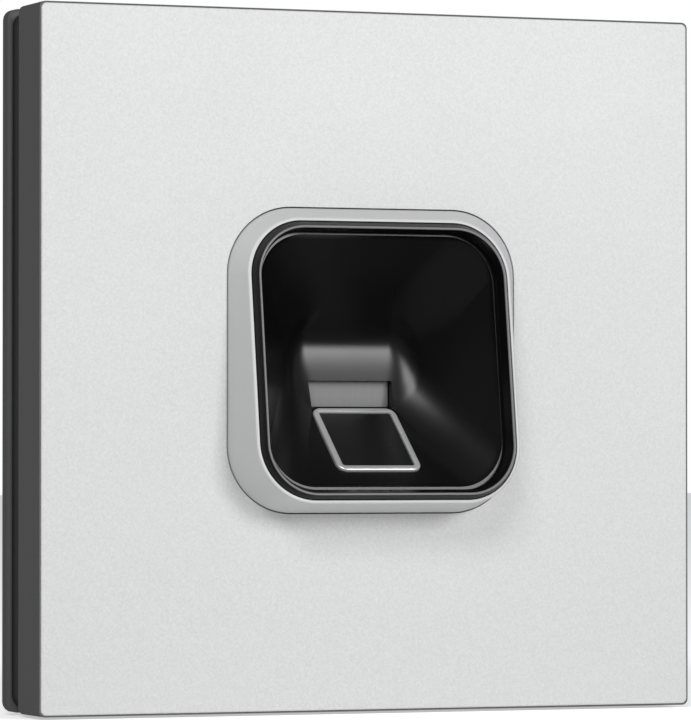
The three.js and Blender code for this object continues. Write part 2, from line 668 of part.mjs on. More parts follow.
/** The funnel's levels, from the rim's crest to the deepest wall. */
function funnelLevels() {
  const crestY = rimPlane(RIM_REACH);
  const straight = (inset, depth) => ({
    bottom: { y: crestY(-CREST.halfHeight) + depth, z: -CREST.halfHeight + inset },
    top: { y: crestY(CREST.halfHeight) + depth, z: CREST.halfHeight - inset },
    halfWidth: CREST.halfWidth - inset,
    radius: CREST.radius - inset / 2,
  });
  const lip = straight(LIP_INSET, 0);
  lip.bottom.y = (lip.bottom.z - floorZ(0)) / Math.tan(SENSOR_TILT);
  lip.top.y += CEILING_LIP_DEPTH;
  const fillets = Array.from({ length: FILLET_STEPS }, (_, i) => filletLevel(i / FILLET_STEPS));
  return [straight(0, 0), straight(LIP_INSET / 2, LIP_DEPTH), lip, ...fillets];
}

/** Moves a solid from the sensor's own frame, where Z is its normal, to its place. */
function onSensorPlane(solid) {
  const matrix = new THREE.Matrix4().makeRotationX(SENSOR_TILT).setPosition(0, SENSOR_Y, SENSOR_Z);
  return solidOf(geometryOf(solid).applyMatrix4(matrix));
}

/** A rounded block in the sensor's frame, between two heights. */
function sensorBlock(width, length, radius, low, high) {
  const shape = roundedShape(width / 2, length / 2, radius);
  const options = { depth: high - low, bevelEnabled: false, curveSegments: SMALL_STEPS };
  const geometry = new THREE.ExtrudeGeometry(shape, options);
  geometry.translate(0, 0, low);
  return solidOf(geometry);
}

function sensorRod(radius, x, low, high) {
  const geometry = new THREE.CylinderGeometry(radius, radius, high - low, SCREW_STEPS);
  geometry.rotateX(Math.PI / 2);
  geometry.translate(x, 0, (low + high) / 2);
  return solidOf(geometry);
}

/** The ears that carry the bracket's screws, one each side of the sensor. */
function sensorEars(low, high) {
  return [
    sensorBlock(2 * EAR_X, 2 * EAR_RADIUS, MODULE_RADIUS / 2, low, high),
    sensorRod(EAR_RADIUS, -EAR_X, low, high),
    sensorRod(EAR_RADIUS, EAR_X, low, high),
  ];
}

function buildFunnel() {
  const levels = funnelLevels();
  const cavity = loft(levels.map((l) => funnelLevel(l, 0)));
  const outerLevels = levels.slice(2).map((l) => funnelLevel(l, SHELL_WALL));
  const cap = new THREE.Vector3(0, SHELL_CAP, 0);
  const lastLevel = outerLevels.at(-1).map((p) => p.clone().add(cap));
  const shell = loft([...outerLevels, lastLevel]);
  const ringShell = loft([
    level(CREST, rimPlane(RIM_REACH)),
    level(RING, rimPlane(COLLAR_REACH)),
    level(RING, () => FUNNEL_FLANGE_Y + REST_GAP),
  ]);
  const inside = grown(RING, -RING_WALL);
  const hollow = loft([
    level(inside, rimPlane(RIM_REACH - RIM_DEPTH)),
    level(inside, () => FUNNEL_FLANGE_Y + FLANGE_THICKNESS + OVERRUN),
  ]);
  const flange = flangeSlab(FUNNEL_FLANGE_Y);
  const seatWidth = FRAME_WIDTH + 2 * SEAT_WALL;
  const seatLength = FRAME_LENGTH + 2 * SEAT_WALL;
  const earTop = -FRAME_STANDOFF - EAR_SETBACK;
  const seat = onSensorPlane(
    unite([
      sensorBlock(seatWidth, seatLength, FRAME_RADIUS, -SEAT_BACK, -FRAME_STANDOFF),
      ...sensorEars(-SEAT_BACK, earTop),
    ]),
  );
  const housing = block(
    -WINDOW_HALF_WIDTH - SEAT_WALL,
    WINDOW_HALF_WIDTH + SEAT_WALL,
    WINDOW_BLOCK_Y,
    WINDOW_BACK_Y,
    WINDOW_BOTTOM_Z - SEAT_WALL,
    WINDOW_TOP_Z + SEAT_WALL,
  );
  const footTip = WINDOW_BACK_Y + LED_HEIGHT + REST_GAP;
  const feet = [-1, 1].map((sign) => {
    const inner = sign * (WINDOW_HALF_WIDTH + REST_GAP);
    const outer = sign * (WINDOW_HALF_WIDTH + SEAT_WALL - REST_GAP);
    return sideBlock(inner, outer, WINDOW_BACK_Y - FUSE, footTip, WINDOW_BOTTOM_Z, WINDOW_TOP_Z);
  });
  const rimAndFlange = cut(unite([ringShell, flange]), [hollow]);
  const outside = unite([rimAndFlange, shell, seat, housing, ...feet]);
  const windowHole = block(
    -WINDOW_HALF_WIDTH,
    WINDOW_HALF_WIDTH,
    WINDOW_BLOCK_Y - 2 * OVERRUN,
    WINDOW_BACK_Y + OVERRUN,
    WINDOW_BOTTOM_Z,
    WINDOW_TOP_Z,
  );
  const frameWidth = FRAME_WIDTH + 2 * FIT_GAP;
  const frameLength = FRAME_LENGTH + 2 * FIT_GAP;
  const moduleWidth = MODULE_WIDTH + 2 * FIT_GAP;
  const moduleLength = MODULE_LENGTH + 2 * FIT_GAP;
  const sensorCuts = onSensorPlane(
    unite([
      sensorBlock(frameWidth, frameLength, FRAME_RADIUS, -SEAT_DEPTH, 3 * OVERRUN),
      sensorBlock(moduleWidth, moduleLength, MODULE_RADIUS, -SEAT_BACK - 3 * OVERRUN, 0),
    ]),
  );
  const pilotTop = earTop - EAR_SETBACK;
  const earPilots = [-EAR_X, EAR_X].map((x) =>
    onSensorPlane(sensorRod(SMALL_SCREW.shank + SCREW_GAP, x, -SEAT_BACK - OVERRUN, pilotTop)),
  );
  place("finger_funnel", cut(outside, [cavity, windowHole, sensorCuts, ...earPilots]), FINISH.black);
}

function buildClampScrews() {
  const seatY = FUNNEL_FLANGE_Y + FLANGE_THICKNESS + REST_GAP;
  const length = seatY - (WEB_FRONT_Y + PILOT_FLOOR) - SCREW_TIP_GAP;
  CLAMP_PLACES.forEach(({ corner, x, z }) => {
    screwMesh("funnel_screw_" + corner, SCREW, seatY, length, x, z);
  });
}

// ---- Sensor ----

function buildSensor() {
  const sensor = new THREE.Group();
  sensor.position.set(0, SENSOR_Y, SENSOR_Z);
  sensor.rotation.x = SENSOR_TILT;
  terminal.add(sensor);

  const openWidth = FRAME_WIDTH - 2 * FRAME_BAND;
  const openLength = FRAME_LENGTH - 2 * FRAME_BAND;
  const bezel = sensorBlock(FRAME_WIDTH, FRAME_LENGTH, FRAME_RADIUS, -FRAME_THICKNESS, 0);
  const openingLow = -FRAME_THICKNESS - OVERRUN;
  const bezelOpening = sensorBlock(openWidth, openLength, FRAME_OPENING_RADIUS, openingLow, OVERRUN);
  place("sensor_frame", bezel.subtract(bezelOpening), FINISH.silver, sensor);

  const padTop = -PAD_SETBACK;
  const padWidth = openWidth - 2 * REST_GAP;
  const padLength = openLength - 2 * REST_GAP;
  const padRadius = FRAME_OPENING_RADIUS - REST_GAP;
  const pad = sensorBlock(padWidth, padLength, padRadius, padTop - PAD_THICKNESS, padTop);
  place("sensor_pad", pad, FINISH.glossBlack, sensor);

  const gasketTop = -FRAME_THICKNESS - REST_GAP;
  const gasketOuter = sensorBlock(
    FRAME_WIDTH - FIT_GAP,
    FRAME_LENGTH - FIT_GAP,
    FRAME_RADIUS,
    gasketTop - GASKET_THICKNESS,
    gasketTop,
  );
  const gasketOpening = sensorBlock(
    MODULE_WIDTH + FIT_GAP,
    MODULE_LENGTH + FIT_GAP,
    FRAME_OPENING_RADIUS,
    gasketTop - OVERRUN,
    0,
  );
  place("sensor_gasket", gasketOuter.subtract(gasketOpening), FINISH.rubber, sensor);

  const moduleLow = MODULE_TOP - MODULE_THICKNESS;
  const moduleBody = sensorBlock(MODULE_WIDTH, MODULE_LENGTH, MODULE_RADIUS, moduleLow, MODULE_TOP);
  place("sensor_module", moduleBody, FINISH.chip, sensor);

  const bracketTop = -SEAT_BACK - REST_GAP;
  const bracketLow = bracketTop - BRACKET_THICKNESS;
  const plateLength = FRAME_LENGTH - 2 * PRESS_INSET;
  const bracketPlate = unite([
    sensorBlock(FRAME_WIDTH, plateLength, PRESS_INSET, bracketLow, bracketTop),
    ...sensorEars(bracketLow, bracketTop),
  ]);
  const pressWidth = MODULE_WIDTH - 2 * PRESS_INSET;
  const pressLength = MODULE_LENGTH - 2 * FLEX_SLOT;
  const pressPad = sensorBlock(pressWidth, pressLength, MODULE_RADIUS, bracketLow, moduleLow - REST_GAP);
  const bracketHoles = [-EAR_X, EAR_X].map((x) =>
    sensorRod(SMALL_SCREW.shank + SCREW_GAP, x, bracketLow - OVERRUN, bracketTop + OVERRUN),
  );
  const slotAtMiddle = sensorBlock(
    FLEX_WIDTH + 2 * SCREW_TIP_GAP,
    FLEX_SLOT,
    SCREW_TIP_GAP,
    bracketLow - OVERRUN,
    bracketTop + OVERRUN,
  );
  const flexSlot = solidOf(geometryOf(slotAtMiddle).translate(0, FRAME_LENGTH / 2 - FLEX_OFFSET, 0));
  const bracket = cut(unite([bracketPlate, pressPad]), [...bracketHoles, flexSlot]);
  place("sensor_bracket", bracket, FINISH.steel, sensor);

  [["left", -EAR_X], ["right", EAR_X]].forEach(([side, x]) => {
    const solid = screw(SMALL_SCREW, 0, SMALL_SCREW_LENGTH);
    const mesh = place("bracket_screw_" + side, solid, FINISH.steel, sensor);
    mesh.rotation.x = -Math.PI / 2;
    mesh.position.set(x, 0, bracketLow - REST_GAP);
  });
}

/** The flat cable from the sensor to its connector, bent in one plane. */
function buildFlex() {
  const underModule = MODULE_TOP - MODULE_THICKNESS - REST_GAP;
  const start = new THREE.Vector3(0, FRAME_LENGTH / 2 - FLEX_OFFSET, underModule);
  start.applyAxisAngle(new THREE.Vector3(1, 0, 0), SENSOR_TILT);
  start.add(new THREE.Vector3(0, SENSOR_Y, SENSOR_Z));
  const down = new THREE.Vector2(Math.sin(SENSOR_TILT), -Math.cos(SENSOR_TILT));
  const from = new THREE.Vector2(start.y, start.z);
  const knee = from.clone().addScaledVector(down, FLEX_BEND);
  const connectorTopZ = CONNECTOR.z + CONNECTOR.height / 2;
  const to = new THREE.Vector2(BOARD_BACK_Y + CONNECTOR.rise / 2, connectorTopZ + REST_GAP);
  const path = new THREE.CubicBezierCurve(from, knee, new THREE.Vector2(to.x, to.y + FLEX_BEND), to);
  const near = [];
  const far = [];
  for (let i = 0; i <= FLEX_STEPS; i += 1) {
    const p = path.getPoint(i / FLEX_STEPS);
    const tangent = path.getTangent(i / FLEX_STEPS);
    const side = new THREE.Vector2(-tangent.y, tangent.x).multiplyScalar(FLEX_THICKNESS / 2);
    near.push(p.clone().add(side));
    far.unshift(p.clone().sub(side));
  }
  const band = new THREE.Shape([...near, ...far]);
  const geometry = new THREE.ExtrudeGeometry(band, { depth: FLEX_WIDTH, bevelEnabled: false });
  // The band is drawn as Y and Z, so the sweep is turned to run along X.
  const turn = new THREE.Matrix4().makeBasis(
    new THREE.Vector3(0, 1, 0),
    new THREE.Vector3(0, 0, 1),
    new THREE.Vector3(1, 0, 0),
  );
  geometry.applyMatrix4(turn);
  geometry.translate(-FLEX_WIDTH / 2, 0, 0);
  place("sensor_flex", solidOf(geometry), FINISH.flex);
}

// ---- Status light ----

function buildStatusLight() {
  const guide = block(
    -WINDOW_HALF_WIDTH + REST_GAP,
    WINDOW_HALF_WIDTH - REST_GAP,
    WINDOW_Y,
    WINDOW_BACK_Y - REST_GAP,
    WINDOW_BOTTOM_Z + REST_GAP,
    WINDOW_TOP_Z - REST_GAP,
  );
  place("status_window", guide, FINISH.window);

  const boardFrontY = WINDOW_BACK_Y + LED_HEIGHT + 2 * REST_GAP;
  const board = block(
    -WINDOW_HALF_WIDTH - LED_BOARD_MARGIN,
    WINDOW_HALF_WIDTH + LED_BOARD_MARGIN,
    boardFrontY,
    boardFrontY + LED_BOARD_THICKNESS,
    WINDOW_BOTTOM_Z - LED_BOARD_MARGIN,
    WINDOW_TOP_Z + LED_BOARD_MARGIN,
  );
  place("led_board", board, FINISH.board);

  const middleZ = (WINDOW_BOTTOM_Z + WINDOW_TOP_Z) / 2;
  const ledBackY = boardFrontY - REST_GAP;
  const ledFrontY = ledBackY - LED_HEIGHT + REST_GAP;
  [["left", -1], ["right", 1]].forEach(([side, sign]) => {
    const x = (sign * LED_SPACING) / 2;
    const half = LED_WIDTH / 2;
    const chip = block(x - half, x + half, ledFrontY, ledBackY, middleZ - half / 2, middleZ + half / 2);
    place("status_led_" + side, chip, FINISH.plastic);
  });
}

// ---- Main board ----

/** A flat component on the main board: side -1 is the front of the board, +1 its back. */
function buildComponent(name, side, x, { width, height, rise, z }, finish) {
  const base = side < 0 ? BOARD_FRONT_Y - REST_GAP : BOARD_BACK_Y + REST_GAP;
  const tip = base + side * rise;
  const frontY = Math.min(base, tip);
  const backY = Math.max(base, tip);
  const solid = block(x - width / 2, x + width / 2, frontY, backY, z - height / 2, z + height / 2);
  place(name, solid, finish);
}

function buildMainBoard() {
  const frontY = BOARD_FRONT_Y - OVERRUN;
  const backY = BOARD_BACK_Y + OVERRUN;
  const blank = slab(roundedShape(BOARD_HALF, BOARD_HALF, BOARD_CORNER), BOARD_FRONT_Y, BOARD_BACK_Y, 1);
  const windowBottom = SENSOR_Z - BOARD_WINDOW_BOTTOM;
  const windowTop = END_TOP_Z + BOARD_WINDOW_TOP;
  const shape = roundedShape(
    END_SIDE + BOARD_WINDOW_SIDE,
    (windowTop - windowBottom) / 2,
    BOARD_WINDOW_RADIUS,
    0,
    (windowTop + windowBottom) / 2,
  );
  const holes = corners(BOARD_SCREW).map(({ x, z }) =>
    rod(SCREW.shank + SCREW_GAP, frontY, backY, x, z, SCREW_STEPS),
  );
  place("main_board", cut(blank, [slab(shape, frontY, backY, 1), ...holes]), FINISH.board);

  const length = BOARD_STANDOFF + BOARD_THICKNESS - SCREW_TIP_GAP;
  corners(BOARD_SCREW).forEach(({ corner, x, z }) => {
    screwMesh("board_screw_" + corner, SCREW, BOARD_BACK_Y + REST_GAP, length, x, z);
  });

  const connector = { ...CONNECTOR, width: FLEX_WIDTH + 2 * CONNECTOR.margin };
  buildComponent("processor", -1, -BOARD_HALF + PROCESSOR.inset, PROCESSOR, FINISH.chip);
  buildComponent("memory_chip", -1, -BOARD_HALF + MEMORY.inset, MEMORY, FINISH.chip);
  buildComponent("bus_transceiver", 1, -BOARD_HALF + TRANSCEIVER.inset, TRANSCEIVER, FINISH.chip);
  buildComponent("power_inductor", 1, BOARD_HALF - INDUCTOR.inset, INDUCTOR, FINISH.chip);
  const buzzerX = FLANGE_HALF_WIDTH + BUZZER_MARGIN + BUZZER.width / 2;
  buildComponent("buzzer", -1, buzzerX, BUZZER, FINISH.chip);
  buildComponent("flex_connector", 1, 0, connector, FINISH.plastic);
}

function buildCapacitors() {
  const { radius, spacing, inset, z, headroom } = CAPACITOR;
  const tipY = COVER_FLOOR_Y - headroom;
  [["left", -1], ["right", 1]].forEach(([side, sign]) => {
    const x = BOARD_HALF - inset + (sign * spacing) / 2;
    const can = rod(radius, BOARD_BACK_Y + REST_GAP, tipY, x, z, SCREW_STEPS);
    place("supply_capacitor_" + side, can, FINISH.steel);
  });
}

function buildTerminalBlock() {
  const frontY = BOARD_BACK_Y + REST_GAP;
  const backY = COVER_BACK_Y - TERMINAL_SETBACK;
  const halfHeight = TERMINAL_HEIGHT / 2;
  const halfWidth = TERMINAL_WIDTH / 2;
  const body = block(-halfWidth, halfWidth, frontY, backY, CABLE_Z - halfHeight, CABLE_Z + halfHeight);
  const pitch = TERMINAL_WIDTH / TERMINAL_WAYS;
  const wayZ = CABLE_Z - WAY_DROP;
  const driverZ = CABLE_Z + DRIVER_RISE;
  const ways = [];
  for (let i = 0; i < TERMINAL_WAYS; i += 1) {
    const x = (i + 0.5) * pitch - halfWidth;
    ways.push(wayBlock(x, WAY_SIZE, WAY_SIZE, wayZ, backY, WAY_DEPTH));
    ways.push(wayBlock(x, DRIVER_WIDTH, DRIVER_HEIGHT, driverZ, backY, DRIVER_DEPTH));
  }
  place("terminal_block", cut(body, ways), FINISH.terminal);
}

/** An opening in the terminal block's back, for a wire or a driver's blade. */
function wayBlock(x, width, height, z, backY, depth) {
  return block(x - width / 2, x + width / 2, backY - depth, backY + OVERRUN, z - height / 2, z + height / 2);
}

// ---- Rear cover ----

function buildRearCover() {
  const outer = roundedShape(COVER_HALF, COVER_HALF, COVER_RADIUS);
  const tray = slab(outer, CARRIER_BACK_Y + REST_GAP, COVER_BACK_Y);
  const tongueShape = roundedShape(TONGUE_HALF, TONGUE_HALF, SEAL_RADIUS);
  const tongue = slab(tongueShape, COVER_BOSS_Y, CARRIER_BACK_Y + OVERRUN, 1);
  const innerShape = roundedShape(COVER_INNER, COVER_INNER, SEAL_RADIUS);
  const inner = slab(innerShape, COVER_BOSS_Y - OVERRUN, COVER_FLOOR_Y, 1);
  const bosses = corners(HOUSING_SCREW).map(({ x, z }) =>
    rod(HOUSING_BOSS_RADIUS, COVER_BOSS_Y, COVER_BACK_Y, x, z, SCREW_STEPS),
  );
  const guideFrontY = LATCH_FRONT_Y - SLIDE_GAP;
  const guides = [-1, 1].map((sign) => {
    const inside = sign * (LATCH_HALF_WIDTH + SLIDE_GAP);
    const outside = inside + sign * GUIDE_WIDTH;
    return sideBlock(inside, outside, guideFrontY, COVER_FLOOR_Y + FUSE, -COVER_INNER - FUSE, LATCH_TOP_Z);
  });
  const post = block(
    -POST_HALF_WIDTH,
    POST_HALF_WIDTH,
    LATCH_FRONT_Y,
    COVER_FLOOR_Y + FUSE,
    POST_BOTTOM_Z,
    POST_TOP_Z,
  );
  const whole = unite([cut(unite([tray, tongue]), [inner]), ...bosses, ...guides, post]);

  const throughY = COVER_BACK_Y + OVERRUN;
  const floorY = COVER_FLOOR_Y - OVERRUN;
  const headHoleY = COVER_BACK_Y - SCREW.headHeight - 2 * FIT_GAP;
  const screwHoles = corners(HOUSING_SCREW).flatMap(({ x, z }) => [
    rod(SCREW.shank + SCREW_GAP, COVER_BOSS_Y - OVERRUN, throughY, x, z, SCREW_STEPS),
    rod(SCREW.head + FIT_GAP, headHoleY, throughY, x, z, SCREW_STEPS),
  ]);
  const terminalHole = block(
    -TERMINAL_WIDTH / 2 - TERMINAL_MARGIN,
    TERMINAL_WIDTH / 2 + TERMINAL_MARGIN,
    floorY,
    throughY,
    CABLE_Z - TERMINAL_HEIGHT / 2 - TERMINAL_MARGIN,
    CABLE_Z + TERMINAL_HEIGHT / 2 + TERMINAL_MARGIN,
  );
  const tamperHole = rod(PLUNGER_RADIUS + SLIDE_GAP, floorY, throughY, TAMPER_X, TAMPER_Z);
  const noseHole = block(
    -NOSE_HALF_WIDTH - SLIDE_GAP,
    NOSE_HALF_WIDTH + SLIDE_GAP,
    COVER_FLOOR_Y - FUSE,
    throughY,
    NOSE_BOTTOM_Z - LATCH_TRAVEL - SLIDE_GAP,
    NOSE_TOP_Z + SLIDE_GAP,
  );
  const tailHole = block(
    -LATCH_HALF_WIDTH - SLIDE_GAP,
    LATCH_HALF_WIDTH + SLIDE_GAP,
    guideFrontY,
    COVER_FLOOR_Y,
    -COVER_HALF - OVERRUN,
    -COVER_INNER + OVERRUN,
  );
  const hookHoles = [-HOOK_X, HOOK_X].map((x) =>
    block(
      x - HOOK_WIDTH / 2 - SLIDE_GAP,
      x + HOOK_WIDTH / 2 + SLIDE_GAP,
      floorY,
      throughY,
      HOOK_Z - HOOK_BITE - SLIDE_GAP,
      HOOK_Z + HOOK_STEM + SLIDE_GAP,
    ),
  );
  const headPockets = [-SCREW_SPACING / 2, SCREW_SPACING / 2].map((x) =>
    slab(screwLand(x, SLIDE_GAP), COVER_BACK_Y - HEAD_POCKET_DEPTH, throughY),
  );
  const holes = [...screwHoles, terminalHole, tamperHole, noseHole, tailHole, ...hookHoles, ...headPockets];
  place("rear_cover", cut(whole, holes), FINISH.black);

  const seatY = headHoleY + REST_GAP;
  const length = seatY - WEB_BACK_Y - SCREW_TIP_GAP;
  corners(HOUSING_SCREW).forEach(({ corner, x, z }) => {
    screwMesh("housing_screw_" + corner, SCREW, seatY, length, x, z);
  });
}

function buildHousingSeal() {
  const outer = outline(CARRIER_INNER - REST_GAP, CARRIER_INNER - REST_GAP, SEAL_RADIUS);
  const inner = grown(outer, -HOUSING_SEAL + REST_GAP);
  const backY = CARRIER_BACK_Y - REST_GAP;
  place("housing_seal", ring(outer, inner, backY - HOUSING_SEAL, backY, 1), FINISH.rubber);
}

// ---- Tamper contact ----

function buildTamper() {
  const switchBackY = BOARD_BACK_Y + REST_GAP + SWITCH_HEIGHT;
  const body = { width: SWITCH_SIZE, height: SWITCH_SIZE, rise: SWITCH_HEIGHT, z: TAMPER_Z };
  buildComponent("tamper_switch", 1, TAMPER_X, body, FINISH.chip);

  const flangeBackY = COVER_FLOOR_Y - TAMPER_TRAVEL - REST_GAP;
  const flangeFrontY = flangeBackY - PLUNGER_FLANGE_THICKNESS;
  const profile = [
    new THREE.Vector2(0, -PLUNGER_TIP),
    new THREE.Vector2(PLUNGER_BORE, -PLUNGER_TIP),
    new THREE.Vector2(PLUNGER_BORE, flangeFrontY),
    new THREE.Vector2(PLUNGER_FLANGE, flangeFrontY),
    new THREE.Vector2(PLUNGER_FLANGE, flangeBackY),
    new THREE.Vector2(PLUNGER_RADIUS, flangeBackY),
    new THREE.Vector2(PLUNGER_RADIUS, -PLUNGER_CHAMFER),
    new THREE.Vector2(PLUNGER_RADIUS - PLUNGER_CHAMFER, 0),
    new THREE.Vector2(0, 0),
  ];
  const turned = solidOf(new THREE.LatheGeometry(profile, ROUND_STEPS));
  const plunger = place("tamper_plunger", turned, FINISH.plastic);
  plunger.position.set(TAMPER_X, 0, TAMPER_Z);

  const springLength = -PLUNGER_TIP - switchBackY - 2 * REST_GAP;
  const coilRadius = PLUNGER_BORE - SPRING_WIRE - PLUNGER_SPRING_GAP;
  const coil = coilSpring(coilRadius, springLength, PLUNGER_SPRING_TURNS);
  const spring = place("tamper_spring", coil, FINISH.steel);
  spring.rotation.x = -Math.PI / 2;
  spring.position.set(TAMPER_X, switchBackY + REST_GAP, TAMPER_Z);
}

// ---- Release latch ----

function buildLatch() {
  const bar = block(
    -LATCH_HALF_WIDTH,
    LATCH_HALF_WIDTH,
    LATCH_FRONT_Y,
    LATCH_BACK_Y,
    LATCH_BOTTOM_Z,
    LATCH_TOP_Z,
  );
  const nose = block(
    -NOSE_HALF_WIDTH,
    NOSE_HALF_WIDTH,
    LATCH_BACK_Y - FUSE,
    -LATCH_TIP_GAP,
    NOSE_BOTTOM_Z,
    NOSE_TOP_Z,
  );
  const hook = block(
    -NOSE_HALF_WIDTH,
    NOSE_HALF_WIDTH,
    PLATE_FRONT_Y + HOOK_LIP + SLIDE_GAP,
    -LATCH_TIP_GAP,
    NOSE_TOP_Z - FUSE,
    NOSE_TOP_Z + LATCH_BITE,
  );
  const throughFront = LATCH_FRONT_Y - OVERRUN;
  const window = block(
    -POST_HALF_WIDTH - SLIDE_GAP,
    POST_HALF_WIDTH + SLIDE_GAP,
    throughFront,
    LATCH_BACK_Y + OVERRUN,
    POST_BOTTOM_Z - REST_GAP,
    LATCH_WINDOW_TOP_Z,
  );
  const eyeZ = LATCH_BOTTOM_Z + LATCH_EYE_RISE;
  const eye = rod(LATCH_EYE_RADIUS, throughFront, LATCH_BACK_Y + OVERRUN, 0, eyeZ, SCREW_STEPS);
  place("release_latch", cut(unite([bar, nose, hook]), [window, eye]), FINISH.plate);

  const coilRadius = LATCH_THICKNESS / 2 - SPRING_WIRE;
  const coil = coilSpring(coilRadius, LATCH_SPRING_LENGTH, LATCH_SPRING_TURNS);
  const spring = place("latch_spring", coil, FINISH.steel);
  spring.position.set(0, (LATCH_FRONT_Y + LATCH_BACK_Y) / 2, POST_TOP_Z + REST_GAP);

  const keeperHalf = LATCH_HALF_WIDTH + SLIDE_GAP + GUIDE_WIDTH;
  const keeperBackY = LATCH_FRONT_Y - SLIDE_GAP - REST_GAP;
  const keeper = block(
    -keeperHalf,
    keeperHalf,
    keeperBackY - KEEPER_THICKNESS,
    keeperBackY,
    POST_TOP_Z,
    POST_TOP_Z + KEEPER_HEIGHT,
  );
  place("latch_keeper", keeper, FINISH.steel);
}

// ---- Wall plate ----

/** The pockets in the back of the wall plate, which leave ribs and a solid middle. */
function platePockets() {
  const edge = HALF - WALL_GASKET_INSET - WALL_GASKET_WIDTH - RIB_WIDTH;
  const slotSide = SCREW_SPACING / 2 - SLOT_WIDTH / 2 - SLOT_LAND - RIB_WIDTH;
  const boxes = [];
  const add = (x0, x1, z0, z1) => {
    const middleX = (x0 + x1) / 2;
    const middleZ = (z0 + z1) / 2;
    const shape = roundedShape(Math.abs(x1 - x0) / 2, (z1 - z0) / 2, POCKET_RADIUS, middleX, middleZ);
    boxes.push(slab(shape, -POCKET_DEPTH, OVERRUN, 1));
  };
  const hookFree = HOOK_Z - HOOK_BITE - RIB_WIDTH;
  const step = (hookFree - POCKET_BOTTOM_Z) / 2;
  for (const sign of [-1, 1]) {
    const inner = sign * (RIB_WIDTH / 2);
    const outer = sign * edge;
    const split = sign * slotSide;
    for (let row = 0; row < 2; row += 1) {
      const low = POCKET_BOTTOM_Z + row * step;
      const high = low + step - RIB_WIDTH;
      add(inner, split, low, high);
      add(split + sign * RIB_WIDTH, outer, low, high);
    }
  }
  return boxes;
}

/** The outline of the recess that a wall screw's head sits in. */
function screwLand(x, margin) {
  const halfWidth = LAND_HALF_WIDTH + margin;
  return roundedShape(halfWidth, LAND_HALF_LENGTH + margin, halfWidth - SLOT_FLAT, x);
}

function buildWallPlate() {
  const side = outline(HALF, HALF, PLATE_RADIUS);
  const body = loft([
    level(grown(side, -PLATE_EDGE), () => PLATE_FRONT_Y, SMALL_STEPS),
    level(side, () => PLATE_FRONT_Y + PLATE_EDGE, SMALL_STEPS),
    level(side, () => 0, SMALL_STEPS),
  ]);
  const frontY = PLATE_FRONT_Y - OVERRUN;
  const slots = [-SCREW_SPACING / 2, SCREW_SPACING / 2].flatMap((x) => [
    slab(roundedShape(SLOT_WIDTH / 2, SLOT_LENGTH / 2, SLOT_WIDTH / 2 - SLOT_FLAT, x), frontY, OVERRUN),
    slab(screwLand(x, 0), frontY, SLOT_LAND_Y),
  ]);
  const cableShape = roundedShape(CABLE_WIDTH / 2, CABLE_HEIGHT / 2, CABLE_RADIUS, 0, CABLE_Z);
  const cable = slab(cableShape, frontY, OVERRUN, SMALL_STEPS);
  const tamperHole = rod(PLUNGER_RADIUS + 2 * SLIDE_GAP, frontY, OVERRUN, TAMPER_X, TAMPER_Z);
  const grooveInner = grown(WALL_GASKET_OUTER, -WALL_GASKET_WIDTH);
  const groove = ring(WALL_GASKET_OUTER, grooveInner, -WALL_GASKET_DEPTH, OVERRUN, 1);
  const catchWidth = NOSE_HALF_WIDTH + 2 * SLIDE_GAP;
  const catchBottom = NOSE_BOTTOM_Z - LATCH_TRAVEL - 2 * SLIDE_GAP;
  const catchTop = NOSE_TOP_Z + SLIDE_GAP;
  const pocketTop = NOSE_TOP_Z + LATCH_BITE + SLIDE_GAP;
  const pocketY = PLATE_FRONT_Y + HOOK_LIP;
  const catchHole = block(-catchWidth, catchWidth, frontY, OVERRUN, catchBottom, catchTop);
  const catchPocket = block(-catchWidth, catchWidth, pocketY, OVERRUN, catchBottom, pocketTop);
  const plate = cut(body, [...slots, cable, tamperHole, groove, catchHole, catchPocket, ...platePockets()]);
  const hooks = [-HOOK_X, HOOK_X].flatMap((x) => {
    const left = x - HOOK_WIDTH / 2;
    const right = x + HOOK_WIDTH / 2;
    const stemTop = HOOK_Z + HOOK_STEM;
    return [
      block(left, right, HOOK_TIP_Y - HOOK_TIP, PLATE_FRONT_Y + FUSE, HOOK_Z, stemTop),
      block(left, right, HOOK_TIP_Y - HOOK_TIP, HOOK_TIP_Y, HOOK_Z, stemTop + HOOK_BITE),
    ];
  });
  place("wall_plate", unite([plate, ...hooks]), FINISH.plate);
}

function buildWallGasket() {
  const outer = grown(WALL_GASKET_OUTER, -FIT_GAP);
  const inner = grown(WALL_GASKET_OUTER, FIT_GAP - WALL_GASKET_WIDTH);
  place("wall_gasket", ring(outer, inner, REST_GAP - WALL_GASKET_DEPTH, 0, 1), FINISH.foam);
}

buildFrontSheet();
buildSheetAdhesive();
buildCarrier();
buildCollar();
buildCollarSeal();
buildFunnel();
buildClampScrews();
buildSensor();
buildFlex();
buildStatusLight();
buildMainBoard();
buildCapacitors();
buildTerminalBlock();
buildRearCover();
buildHousingSeal();
buildTamper();
buildLatch();
buildWallPlate();
buildWallGasket();

export default terminal;
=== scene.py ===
"""Looks of a wall-mounted fingerprint scanner terminal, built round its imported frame."""

import json
import logging
import math
from dataclasses import asdict, dataclass, field, replace
from enum import Enum

import bmesh
import bpy
from mathutils import Matrix, Vector


